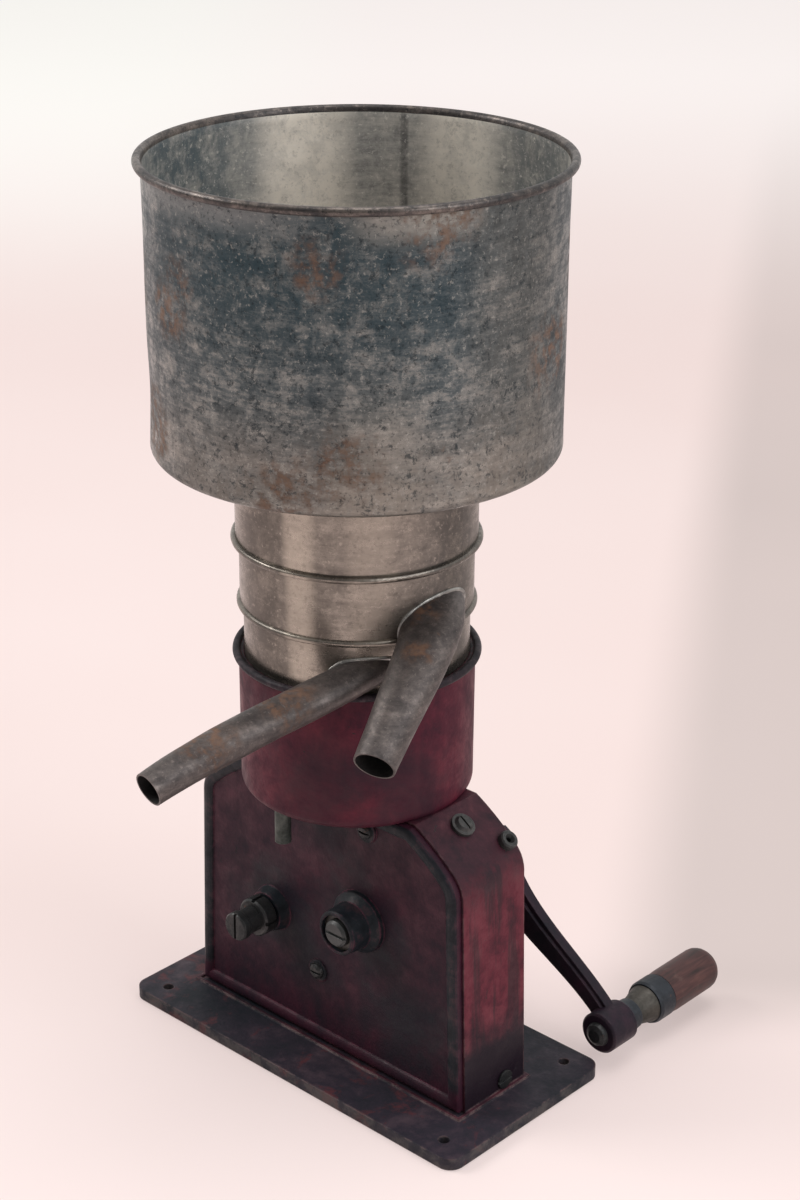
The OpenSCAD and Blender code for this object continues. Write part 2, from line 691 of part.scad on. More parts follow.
module worm_wheel() {
    lead_tan = worm_lead / (2 * PI * worm_r);
    turn = lead_tan * wheel_w / wheel_r * 180 / PI;
    color("peru") difference() {
        union() {
            translate([wheel_x, spindle_y, wheel_z]) rotate([90, 0, 0])
                rotate([0, 0, 180 / wheel_teeth + turn / 2])
                linear_extrude(height = wheel_w, center = true, twist = turn, slices = 3)
                polygon([for (k = [0:wheel_teeth - 1]) each wheel_tooth(360 * k / wheel_teeth)]);
            y_rod(wheel_x, wheel_z, spindle_y - wheel_w / 2 - 4, spindle_y + wheel_w / 2 + 1, 11);
        }
        difference() {
            y_rod(wheel_x, wheel_z, spindle_y - wheel_w / 2 - 1, spindle_y - wheel_w / 2 + 2, wheel_r - 6);
            y_rod(wheel_x, wheel_z, spindle_y - wheel_w / 2 - 2, spindle_y - wheel_w / 2 + 3, 11);
        }
        for (a = [30:72:330]) translate([wheel_x, spindle_y - 10, wheel_z]) rotate([0, a, 0])
            translate([(wheel_r + 5) / 2, 0, 0]) rotate([-90, 0, 0])
                cylinder(h = 20, r = (wheel_r - 17) / 2 - 2);
        y_rod(wheel_x, wheel_z, spindle_y - wheel_w - 2, spindle_y + wheel_w, wheel_shaft_r);
    }
}

// Half width of a worm thread at radius r, as an angle in the cross-section
function thread_half(r) =
    (PI * worm_m / 4 - (r - worm_r) * tan(pressure) - tooth_slack / 2) * 360 / worm_lead;
function thread(c) =
    let (r0 = worm_r - dedendum * worm_m, r1 = worm_r + addendum * worm_m, up = [r0, (r0 + r1) / 2, r1])
    concat([for (r = up) polar(r, c - thread_half(r))],
        [for (i = [2:-1:0]) polar(up[i], c + thread_half(up[i]))]);

module worm() {
    turns = 360 * worm_len / worm_lead;
    color("lightsteelblue") at_spindle() translate([0, 0, wheel_z]) difference() {
        union() {
            rotate([0, 0, 180 + turns / 2]) linear_extrude(height = worm_len, center = true, twist = turns,
                slices = ceil(turns / 15), $fn = 12)
                polygon([for (k = [0:worm_starts - 1]) each thread(360 * k / worm_starts)]);
            for (s = [-1, 1]) translate([0, 0, s * (worm_len / 2 + 1)])
                cylinder(h = 4, r = (spindle_r + worm_r - dedendum * worm_m) / 2, center = true);
        }
        cylinder(h = worm_len + 20, r = spindle_r, center = true);
    }
}

module wheel_shaft() {
    y0 = front_y - sleeve_len + 5;
    color("silver") y_turned(wheel_x, wheel_z, [[0, y0], [wheel_shaft_r - 1, y0], [wheel_shaft_r, y0 + 1],
        [wheel_shaft_r, back_y + 2], [wheel_shaft_r - 1, back_y + 3], [0, back_y + 3]]);
}

module crank_shaft() {
    y0 = front_y - front_boss_len - 1.5;
    color("silver") difference() {
        y_turned(crank_x, crank_z, [[0, y0], [crank_shaft_r - 1.5, y0], [crank_shaft_r, y0 + 1.5],
            [crank_shaft_r, hub_y1], [crank_shaft_r - 2, hub_y1], [crank_shaft_r - 2, hub_y1 + 9],
            [crank_shaft_r - 3, hub_y1 + 10], [0, hub_y1 + 10]]);
        translate([crank_x - 10, y0 - 1, crank_z - 0.9]) cube([20, 2.6, 1.8]);
    }
}

module spindle() {
    z0 = floor_z + 3 + 2 * ball_r + 0.05;
    top_r = spindle_r - 1.5;
    color("silver") spun([[0, z0], [spindle_r - 1, z0], [spindle_r, z0 + 1], [spindle_r, bowl_z - 2],
        [top_r, bowl_z + 14], [0, bowl_z + 14]]);
}

// ---------------------------------------------------------------- crank

// Point on the S-shaped centre line of the arm, in the arm's own plane
function arm_point(t) = 3 * (1 - t) * (1 - t) * t * [0.32, -0.145] * crank_reach
    + 3 * (1 - t) * t * t * [0.68, 0.05] * crank_reach + t * t * t * [crank_reach, 0];
function arm_slope(t) = atan2((arm_point(t + 0.01) - arm_point(t - 0.01))[1],
    (arm_point(t + 0.01) - arm_point(t - 0.01))[0]);
function arm_width(t) = arm_w + arm_flare * (1 - t) * (1 - t);
function arm_edge(t, side) = arm_point(t) + side * arm_width(t) / 2 * polar(1, arm_slope(t) + 90);
arm_steps = 16;

module arm_slab(y0, y1, share) {
    low = [for (i = [0:arm_steps])
        arm_point(i / arm_steps) + share * (arm_edge(i / arm_steps, -1) - arm_point(i / arm_steps))];
    high = [for (i = [arm_steps:-1:0])
        arm_point(i / arm_steps) + share * (arm_edge(i / arm_steps, 1) - arm_point(i / arm_steps))];
    translate([crank_x, y1, crank_z]) rotate([90, 0, 0]) rotate([0, 0, -crank_rest])
        linear_extrude(y1 - y0) polygon(concat(low, high));
}

module crank_arm() {
    color("#3a2530") difference() {
        union() {
            arm_slab(arm_y0 + 2, arm_y1, 1);
            arm_slab(arm_y0, arm_y0 + 2 + eps, 0.66);
            y_turned(crank_x, crank_z, [[0, hub_y0], [hub_r - 3, hub_y0], [hub_r - 2, hub_y0 + 1],
                [hub_r - 2, arm_y0 - 4],
                [hub_r, arm_y0 - 1], [hub_r, hub_y1 - 1], [hub_r - 1, hub_y1], [0, hub_y1]]);
            y_turned(pin_x, pin_z, [[0, boss_y0], [arm_boss_r - 1.2, boss_y0], [arm_boss_r, boss_y0 + 1.2],
                [arm_boss_r, boss_y1 - 1.2], [arm_boss_r - 1.2, boss_y1], [0, boss_y1]]);
        }
        y_rod(crank_x, crank_z, hub_y0 - 1, hub_y1 + 1, crank_shaft_r);
        y_rod(pin_x, pin_z, boss_y0 - 1, boss_y1 + 1, pin_r);
    }
}

module crank_nut() {
    color("dimgray") difference() {
        union() {
            translate([crank_x, hub_y1, crank_z]) rotate([-90, 30, 0]) cylinder(h = 7, r = 11, $fn = 6);
            y_rod(crank_x, crank_z, hub_y1, hub_y1 + 1.5, 12);
        }
        y_rod(crank_x, crank_z, hub_y1 - 1, hub_y1 + 9, crank_shaft_r - 2);
    }
}

module handle_pin() {
    color("#30303a") y_turned(pin_x, pin_z,
        [[0, boss_y0 - 4], [4, boss_y0 - 4], [6.4, boss_y0 - 2.6], [7.4, boss_y0],
        [pin_r, boss_y0], [pin_r, grip_y1 - 10], [pin_r - 1, grip_y1 - 9], [0, grip_y1 - 9]]);
}

module handle_collar() {
    color("#2a2c33") y_turned(pin_x, pin_z,
        [[pin_r, boss_y1], [9, boss_y1], [10, boss_y1 + 1.5], [9.4, boss_y1 + collar_len],
        [pin_r, boss_y1 + collar_len]]);
}

ferrule_len = 13;
band_len = 14;

module grip_ferrule() {
    r = pin_r + run_gap;
    color("#8a8078") y_turned(pin_x, pin_z,
        [[r, grip_y0], [8.2, grip_y0], [8.6, grip_y0 + 2], [9.6, grip_y0 + 6],
        [grip_r - 1.6, grip_y0 + ferrule_len], [r, grip_y0 + ferrule_len]]);
}

module grip_band() {
    y0 = grip_y0 + ferrule_len;
    color("#23303a") y_turned(pin_x, pin_z,
        [[grip_r - 3, y0], [grip_r - 0.8, y0], [grip_r, y0 + 2], [grip_r, y0 + band_len - 1],
        [grip_r - 0.6, y0 + band_len], [grip_r - 3, y0 + band_len]]);
}

module wooden_grip() {
    r = pin_r + run_gap;
    y0 = grip_y0 + ferrule_len;
    color("#7a3b28") difference() {
        y_turned(pin_x, pin_z, concat([[0, y0], [grip_r - 3, y0], [grip_r - 3, y0 + band_len],
            [grip_r - 0.4, y0 + band_len],
            [grip_r, y0 + band_len + 6]], arc([grip_r - 9, grip_y1 - 9], 9, 0, 90, 6), [[0, grip_y1]]));
        y_rod(pin_x, pin_z, y0 - 1, grip_y1 - 8.5, r);
    }
}

// ---------------------------------------------------------------- bowl

module bowl_base() {
    color("silver") difference() {
        spun([[spindle_r + 6, bowl_z - 6], [spindle_r + 8, bowl_z], [bowl_r - 1.5, bowl_z],
            [bowl_r, bowl_z + 1.5],
            [bowl_r, bowl_z + 8], [bowl_r - 2, bowl_z + 8], [bowl_r - 2, bowl_z + 6],
                [bowl_r - 5, bowl_z + 6],
            [bowl_r - 5, bowl_z + 8], [bowl_r - 8, bowl_z + 8], [bowl_r - 12, bowl_z + 5],
                [feed_r + 8, bowl_z + 5],
            [feed_r + 3, bowl_z + 16], [feed_r + 3, neck_top_z], [feed_r, neck_top_z],
                [feed_r, cream_neck_z + bowl_nut_h],
            [feed_r - 2, cream_neck_z + bowl_nut_h], [feed_r - 2, feed_low_z], [0, feed_low_z],
                [0, bowl_z + 14],
            [spindle_r - 1.5, bowl_z + 14], [spindle_r, bowl_z - 2], [spindle_r, bowl_z - 6]]);
        for (a = [0:120:240]) at_spindle() translate([0, 0, feed_low_z + 2.5]) rotate([0, 90, a])
            cylinder(h = feed_r + 6, r = 2);
    }
}

module bowl_seal() {
    color("saddlebrown") spun([[bowl_r - 5, bowl_z + 6], [bowl_r - 2, bowl_z + 6],
        [bowl_r - 2, bowl_z + 8], [bowl_r - 5, bowl_z + 8]]);
}

// Cone line shared by the distributor, the discs and the hood: 45 degrees
module distributor() {
    r0 = feed_r + 3.3;
    r1 = bowl_r - 12;
    z1 = bowl_z + 6.2;
    rise = r1 - r0 - 1.2;
    color("gainsboro") difference() {
        spun([[r0, z1 + rise], [r1, z1], [r1, z1 + 1.2], [r0 + 1.2, z1 + 1.2 + rise],
            [r0 + 1.2, disc_low_z + 44], [r0, disc_low_z + 44]]);
        feed_holes();
    }
}

module feed_holes() {
    for (a = [0:60:300]) at_spindle() rotate([0, 0, a]) translate([feed_hole_r, 0, bowl_z + 8])
        cylinder(h = 60, r = 1.6);
}

disc_pitch = 2.4;
disc_t = 0.8;
disc_in_r = feed_r + 5;
disc_out_r = bowl_r - bowl_wall - 4;
disc_low_z = bowl_z + 9;
feed_hole_r = 25;

// One conical disc with three small spacers that carry the next disc
module disc(z0, spacers) {
    rise = disc_out_r - disc_in_r;
    gap = disc_pitch - disc_t - 0.04;
    translate([0, 0, z0]) {
        rotate_extrude() polygon([[disc_out_r, 0], [disc_out_r, disc_t], [disc_in_r, rise + disc_t],
            [disc_in_r, rise]]);
        if (spacers) for (a = [0:120:240]) rotate([0, 0, a + 30]) rotate_extrude(angle = 8)
            translate([30, disc_out_r - 30 + disc_t - eps])
                polygon([[0, 0], [4, -4], [4, gap - 4], [0, gap]]);
    }
}

module disc_stack() {
    color("gainsboro") difference() {
        at_spindle() for (i = [0:disc_count - 1]) disc(disc_low_z + disc_pitch * i, i < disc_count - 1);
        feed_holes();
    }
}

module bowl_hood() {
    in_r = bowl_r - bowl_wall;
    w = bowl_wall * 0.7;
    color("silver") difference() {
        spun([[in_r, bowl_z + 8.2], [bowl_r, bowl_z + 8.2], [bowl_r, bowl_shoulder_z], [neck_r, neck_z],
            [neck_r, neck_top_z],
            [cream_neck_r, neck_top_z], [cream_neck_r, cream_neck_z], [feed_r, cream_neck_z],
                [feed_r, cream_neck_z - 2],
            [cream_neck_r - w, cream_neck_z - 2], [cream_neck_r - w, neck_top_z - w],
                [neck_r - w, neck_top_z - w],
            [neck_r - w, neck_z - w * 0.4], [in_r, bowl_shoulder_z - w * 0.4]]);
        for (a = [0:90:270]) at_spindle() translate([0, 0, skim_floor_z + 8.5]) rotate([0, 90, a + 20])
            translate([0, 0, neck_r - 5]) cylinder(h = 10, r = 1.6);
        for (a = [0:180:180]) at_spindle() translate([0, 0, cream_neck_z - 6]) rotate([0, 90, a + 65])
            translate([0, 0, cream_neck_r - 5]) cylinder(h = 10, r = 1.2);
    }
}

module bowl_nut() {
    color("goldenrod") at_spindle() translate([0, 0, cream_neck_z]) difference() {
        union() {
            cylinder(h = bowl_nut_h, r = feed_r + 5, $fn = 6);
            cylinder(h = 2, r = feed_r + 5);
        }
        translate([0, 0, -1]) cylinder(h = bowl_nut_h + 2, r = feed_r);
    }
}

// ---------------------------------------------------------------- tinware

function mix(a, b, t) = a + (b - a) * t;

function bezier(c, t) = pow(1 - t, 3) * c[0] + 3 * t * pow(1 - t,
    2) * c[1] + 3 * t * t * (1 - t) * c[2] + pow(t, 3) * c[3];
function bezier_dir(c, t) = unit(bezier(c, t + 0.001) - bezier(c, t - 0.001));
function spout_size(root, mouth, t) = mix(root, mouth, max(t, 0)) + spout_swell * sin(180 * t);
// Rings of a spout from t0 to t1 along the curve c, made smaller all round by less
function spout_rings(c, root_w, root_h, mouth_r, less, t0, t1, n) =
    [for (i = [0:n]) let (t = mix(t0, t1, i / n))
        [bezier(c, t), bezier_dir(c, t), spout_size(root_w, mouth_r, t) - less,
            spout_size(root_h, mouth_r, t) - less]];

skim_root = [48.4, spindle_y - 5, skim_floor_z + 9.6];
skim_path = [skim_root,
    [mix(skim_root[0], skim_mouth_x, 0.33), spindle_y - 0.34 * skim_mouth_y,
        skim_root[2] - 0.46 * skim_drop],
    [mix(skim_root[0], skim_mouth_x, 0.74), spindle_y - 0.74 * skim_mouth_y,
        skim_root[2] - 0.5 * skim_drop],
    [skim_mouth_x, spindle_y - skim_mouth_y, skim_root[2] - skim_drop]];
cream_root = [40, spindle_y + 12, cream_floor_z + 9.5];
cream_path = [cream_root,
    [cream_root[0] + 38, spindle_y - 12, cream_root[2]],
    [mix(cream_root[0], cream_mouth_x, 0.67), spindle_y - 0.41 * cream_mouth_y,
        cream_root[2] - 0.34 * cream_drop],
    [cream_mouth_x, spindle_y - cream_mouth_y, cream_root[2] - cream_drop]];

module skim_tube(less, t0, t1) {
    loft(spout_rings(skim_path, skim_root_w, skim_root_h, skim_mouth_r, less, t0, t1, 10));
}

module cream_tube(less, t0, t1) {
    loft(spout_rings(cream_path, cream_root_w, cream_root_h, cream_mouth_r, less, t0, t1, 10));
}

// Straight wall of sheet from z0 up to z1
module tin_wall(r, z0, z1) {
    spun(ribbon([[r, z0], [r, z1]], sheet));
}

// Floor of sheet that falls from an upright collar round its hole to the wall
module tin_floor(r, z, hole, collar) {
    spun(ribbon([[r - sheet / 2, z], [hole + 1, z + 2], [hole, z + 2 + collar]], sheet));
}

module skim_cover() {
    color("tan") difference() {
        union() {
            tin_wall(skim_r, seat_z + 0.1, cream_floor_z - sheet - 0.3);
            tin_floor(skim_r, skim_floor_z, skim_hole_r, 2.5);
        }
        skim_tube(sheet, -0.03, 0.5);
    }
}

// Tube soldered round the outlet of the skim milk cover
module skim_spout() {
    color("tan") difference() {
        skim_tube(0, 0, 1);
        skim_tube(sheet, -0.03, 1.03);
        at_spindle() translate([0, 0, skim_floor_z - 20]) cylinder(h = 60, r = skim_r);
    }
}

module cream_cover() {
    color("tan") difference() {
        union() {
            tin_wall(cream_r, cream_z, chamber_z + 3.5);
            tin_floor(cream_r, cream_floor_z, cream_hole_r, 2.5);
            difference() {
                roll(cream_r - 0.2, cream_z, roll_r);
                at_spindle() translate([0, 0, cream_z - 8]) cylinder(h = 8 + roll_r + 0.5, r = skim_r + 0.3);
                cream_tube(0, -0.03, 0.6);
            }
        }
        cream_tube(sheet, -0.03, 0.6);
    }
}

// Tube soldered round the outlet of the cream cover, where the roll ends against it
module cream_spout() {
    color("tan") difference() {
        cream_tube(0, 0, 1);
        cream_tube(sheet, -0.03, 1.03);
        at_spindle() translate([0, 0, cream_z - 30]) cylinder(h = 90, r = cream_r);
    }
}

module float_chamber() {
    r = nozzle_r - sheet;
    color("burlywood") union() {
        tin_wall(chamber_r, chamber_z, can_z - 0.3);
        spun(ribbon([[chamber_r - sheet / 2, chamber_floor_z], [nozzle_r + 4, chamber_floor_z - 2],
            [r, chamber_floor_z - 5],
            [r, nozzle_low_z]], sheet));
        difference() {
            roll(chamber_r + 0.6, chamber_z, roll_r);
            at_spindle() translate([0, 0, chamber_z - 4]) cylinder(h = 8, r = cream_r + 0.3);
        }
    }
}
nozzle_low_z = cream_neck_z + bowl_nut_h - 4;

module float() {
    z0 = chamber_floor_z + 0.3;
    color("silver") spun(concat([[0, z0 + 1.5], [10, z0 + 1.5], [14, z0]],
        arc([float_r - 3, z0 + 3], 3, -90, 0, 4),
        arc([float_r - 3, z0 + float_h - 3], 3, 0, 90, 4),
            [[12, z0 + float_h], [6, z0 + float_h + 2], [0, z0 + float_h + 2]]));
}

module supply_can() {
    in_r = can_r - sheet;
    skirt_r = chamber_r - sheet - 0.5;
    color("slategray") difference() {
        union() {
            spun(concat([[tap_r, can_z]],
                arc([can_r - can_edge_r, can_z + can_edge_r], can_edge_r, -90, 0, 7),
                [[can_r, can_top - can_roll_r], [in_r, can_top - can_roll_r]],
                arc([can_r - can_edge_r, can_z + can_edge_r], can_edge_r - sheet, 0, -90, 7),
                    [[tap_r, can_z + sheet]]));
            roll(can_r + 1.7, can_top - can_roll_r, can_roll_r);
            spun([[skirt_r - sheet, can_z - 7], [skirt_r, can_z - 7], [skirt_r, can_z + sheet / 2],
                [skirt_r - sheet, can_z + sheet / 2]]);
            at_spindle() translate([0, 0, can_z - tap_len]) cylinder(h = tap_len + 8, r = tap_r);
            at_spindle() rotate([0, 0, seam_angle]) rotate_extrude(angle = 4)
                translate([in_r - sheet * 0.6, can_z + can_edge_r])
                square([sheet * 0.6 + eps, can_top - can_z - can_edge_r - 2 * can_roll_r]);
        }
        at_spindle() translate([0, 0, can_z - tap_len - 1]) cylinder(h = 6, r = 3.2);
        at_spindle() translate([0, 0, can_z - tap_len + 4]) cylinder(h = 40, r = plug_r + run_gap);
        at_spindle() translate([0, 0, can_z + 4]) rotate([0, 90, 0])
            cylinder(h = 2 * tap_r + 4, r = 2.5, center = true);
    }
}
plug_r = 5.5;
seam_angle = 117;

module tap_plug() {
    z0 = can_z - tap_len + 4.1;
    color("goldenrod") at_spindle() difference() {
        union() {
            translate([0, 0, z0]) cylinder(h = tap_len + 14, r = plug_r);
            translate([0, 0, can_z + 8.1]) cylinder(h = 2, r = plug_r + 2.5);
        }
        translate([0, 0, can_z + 4]) rotate([0, 90, 0]) cylinder(h = 30, r = 2.4, center = true);
        translate([0, 0, z0 - 1]) cylinder(h = tap_len, r = 2.4);
        translate([0, 0, can_z + tap_len + 0.5]) rotate([0, 90, 0]) cylinder(h = 30, r = 2, center = true);
    }
}

module tap_handle() {
    color("goldenrod") at_spindle() translate([0, 0, can_z + tap_len + 0.5]) rotate([0, 90, 0]) union() {
        cylinder(h = 44, r = 2, center = true);
        for (s = [-1, 1]) translate([0, 0, s * 22]) sphere(r = 3.4);
    }
}

gear_case();
front_cover();
cover_screw();
oil_level_plug();
drain_plug();
oil_cap();
oil_cup();
bowl_casing();
drain_pipe();
casing_screws();
neck_bush();
neck_ring();
neck_cap();
footstep_cup();
thrust_ball();
crank_bushes();
bearing_sleeve();
sleeve_lock_nut();
rear_wheel_bush();
crank_shaft();
drive_gear();
crank_arm();
crank_nut();
handle_pin();
handle_collar();
grip_ferrule();
grip_band();
wooden_grip();
wheel_shaft();
pinion();
worm_wheel();
spindle();
worm();
bowl_base();
bowl_seal();
distributor();
disc_stack();
bowl_hood();
bowl_nut();
skim_cover();
skim_spout();
cream_cover();
cream_spout();
float_chamber();
float();
supply_can();
tap_plug();
tap_handle();
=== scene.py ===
"""Looks of a table-top cream separator: materials, dented sheet, solder, camera, light and floor."""
import json
import math

import bpy
from mathutils import Matrix, Vector, noise


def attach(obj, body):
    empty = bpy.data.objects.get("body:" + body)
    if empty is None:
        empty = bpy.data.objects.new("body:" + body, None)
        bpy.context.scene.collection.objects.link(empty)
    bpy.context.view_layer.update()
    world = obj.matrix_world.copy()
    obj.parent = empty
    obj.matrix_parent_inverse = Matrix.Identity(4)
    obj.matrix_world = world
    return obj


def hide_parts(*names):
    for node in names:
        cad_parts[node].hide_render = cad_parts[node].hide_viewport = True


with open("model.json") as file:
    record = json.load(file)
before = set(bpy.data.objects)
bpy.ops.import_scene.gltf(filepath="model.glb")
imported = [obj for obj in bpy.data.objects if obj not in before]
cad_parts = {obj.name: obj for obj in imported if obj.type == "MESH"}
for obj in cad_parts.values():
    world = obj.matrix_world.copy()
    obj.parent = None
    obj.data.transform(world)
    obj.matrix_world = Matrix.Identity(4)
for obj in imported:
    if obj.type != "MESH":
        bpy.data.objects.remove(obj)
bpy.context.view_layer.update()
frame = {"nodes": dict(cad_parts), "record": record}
nodes = frame["nodes"]
TAU = 2 * math.pi
MM = 0.001
SPINDLE_Y = -3.0      # the spindle stands at x = 0 and at this y, in mm
SEAM_ANGLE = 117.0    # the can's lap seam, in degrees round the spindle from +X


# ------------------------------------------------------------------ materials

class Look:
    """A node material; every method but new, put and finish returns output sockets."""

    def __init__(self, name):
        self.mat = bpy.data.materials.new(name)
        self.mat.use_nodes = True
        self.tree = self.mat.node_tree
        self.bsdf = self.tree.nodes["Principled BSDF"]
        coords = self.tree.nodes.new("ShaderNodeTexCoord")
        self.pos = coords.outputs["Object"]

    def new(self, kind, **props):
        node = self.tree.nodes.new(kind)
        for key, value in props.items():
            setattr(node, key, value)
        return node

    def put(self, socket, value):
        """Links an output to the socket, or sets the socket to a number or colour."""
        if isinstance(value, bpy.types.NodeSocket):
            self.tree.links.new(value, socket)
        elif socket.type == "RGBA" and len(value) == 3:
            socket.default_value = (*value, 1.0)
        else:
            socket.default_value = value

    def coords(self, scale, shift=(0, 0, 0)):
        """Places multiplied by a factor along each axis, and then moved."""
        node = self.new("ShaderNodeMapping")
        self.put(node.inputs["Vector"], self.pos)
        node.inputs["Scale"].default_value = scale
        node.inputs["Location"].default_value = shift
        return node.outputs["Vector"]

    def noise(self, scale, detail, rough, warp=0.0, at=None):
        node = self.new("ShaderNodeTexNoise")
        self.put(node.inputs["Vector"], at or self.pos)
        node.inputs["Scale"].default_value = scale
        node.inputs["Detail"].default_value = detail
        node.inputs["Roughness"].default_value = rough
        node.inputs["Distortion"].default_value = warp
        return node.outputs["Fac"]

    def math(self, kind, a, b=0.0, clamp=False):
        node = self.new("ShaderNodeMath", operation=kind, use_clamp=clamp)
        self.put(node.inputs[0], a)
        self.put(node.inputs[1], b)
        return node.outputs[0]

    def plus(self, a, b, clamp=False):
        return self.math("ADD", a, b, clamp)

    def minus(self, a, b):
        return self.math("SUBTRACT", a, b)

    def times(self, a, b):
        return self.math("MULTIPLY", a, b)

    def step(self, value, low, high, to=(0.0, 1.0)):
        """A soft step from to[0] at low to to[1] at high; low may be the larger."""
        node = self.new("ShaderNodeMapRange", interpolation_type="SMOOTHSTEP")
        self.put(node.inputs["Value"], value)
        node.inputs["From Min"].default_value = low
        node.inputs["From Max"].default_value = high
        node.inputs["To Min"].default_value = to[0]
        node.inputs["To Max"].default_value = to[1]
        return node.outputs["Result"]

    def mix(self, fac, a, b):
        node = self.new("ShaderNodeMix", data_type="RGBA")
        self.put(node.inputs[0], fac)
        self.put(node.inputs[6], a)
        self.put(node.inputs[7], b)
        return node.outputs[2]

    def over(self, colour, layer, where, share):
        """The colour under a layer that covers the given share of it where the mask is 1."""
        return self.mix(self.times(where, share), colour, layer)

    def ramp(self, value, stops):
        node = self.new("ShaderNodeValToRGB")
        self.put(node.inputs["Fac"], value)
        band = node.color_ramp
        band.elements[0].position, band.elements[-1].position = stops[0][0], stops[-1][0]
        band.elements[0].color, band.elements[-1].color = (*stops[0][1], 1), (*stops[-1][1], 1)
        for place, colour in stops[1:-1]:
            band.elements.new(place).color = (*colour, 1)
        return node.outputs["Color"]

    def axis(self, which):
        """The place along an axis of the object, in metres."""
        node = self.new("ShaderNodeSeparateXYZ")
        self.put(node.inputs[0], self.pos)
        return node.outputs[which]

    def past(self, which, low, high):
        """A soft step along an axis, from 0 at low to 1 at high, in mm."""
        return self.step(self.axis(which), low * MM, high * MM)

    def radius(self):
        """Distance from the spindle, in metres."""
        x = self.axis("X")
        y = self.minus(self.axis("Y"), SPINDLE_Y * MM)
        return self.math("SQRT", self.plus(self.times(x, x), self.times(y, y)))

    def side(self, angle):
        """1 on the side of the spindle that faces the angle, in degrees from +X, and -1 opposite."""
        x = self.times(self.axis("X"), math.cos(math.radians(angle)))
        y = self.minus(self.axis("Y"), SPINDLE_Y * MM)
        y = self.times(y, math.sin(math.radians(angle)))
        return self.math("DIVIDE", self.plus(x, y), self.radius())

    def spot(self, x, y, z, size, soft):
        """1 near a point given in mm, falling to 0 at size mm from it, with a ragged edge."""
        node = self.new("ShaderNodeVectorMath", operation="DISTANCE")
        self.put(node.inputs[0], self.pos)
        node.inputs[1].default_value = (x * MM, y * MM, z * MM)
        ragged = self.times(self.minus(self.noise(45, 4, 0.6), 0.5), size * MM * 1.4)
        away = self.plus(node.outputs["Value"], ragged)
        return self.step(away, size * MM * (1 - soft), size * MM, (1.0, 0.0))

    def edge(self, reach):
        """A normal that rounds sharp edges by reach mm, and how much a place is on an edge."""
        rounded = self.new("ShaderNodeBevel", samples=4)
        rounded.inputs["Radius"].default_value = reach * MM
        geometry = self.new("ShaderNodeNewGeometry")
        dot = self.new("ShaderNodeVectorMath", operation="DOT_PRODUCT")
        self.put(dot.inputs[0], rounded.outputs[0])
        self.put(dot.inputs[1], geometry.outputs["Normal"])
        return rounded.outputs[0], self.step(dot.outputs["Value"], 0.985, 0.90)

    def facing(self, which):
        """How squarely the surface faces along an axis of the object, either way."""
        geometry = self.new("ShaderNodeNewGeometry")
        turn = self.new("ShaderNodeVectorTransform", vector_type="NORMAL",
                        convert_from="WORLD", convert_to="OBJECT")
        self.put(turn.inputs[0], geometry.outputs["Normal"])
        node = self.new("ShaderNodeSeparateXYZ")
        self.put(node.inputs[0], turn.outputs[0])
        return self.math("ABSOLUTE", node.outputs[which])

    def bump(self, height, strength, distance, under=None):
        """The normal of a relief as high as distance, in metres, on top of the normal under it."""
        node = self.new("ShaderNodeBump")
        self.put(node.inputs["Height"], height)
        node.inputs["Strength"].default_value = strength
        node.inputs["Distance"].default_value = distance
        if under is not None:
            self.put(node.inputs["Normal"], under)
        return node.outputs["Normal"]

    def finish(self, colour, rough, metal=0.0, normal=None, **more):
        """Sets the shader and returns the material."""
        self.put(self.bsdf.inputs["Base Color"], colour)
        self.put(self.bsdf.inputs["Roughness"], rough)
        self.put(self.bsdf.inputs["Metallic"], metal)
        if normal is not None:
            self.put(self.bsdf.inputs["Normal"], normal)
        for key, value in more.items():
            self.bsdf.inputs[key.replace("_", " ")].default_value = value
        return self.mat


def toned(colour, share):
    """A colour made darker or lighter by a factor."""
    return tuple(min(1.0, c * share) for c in colour)


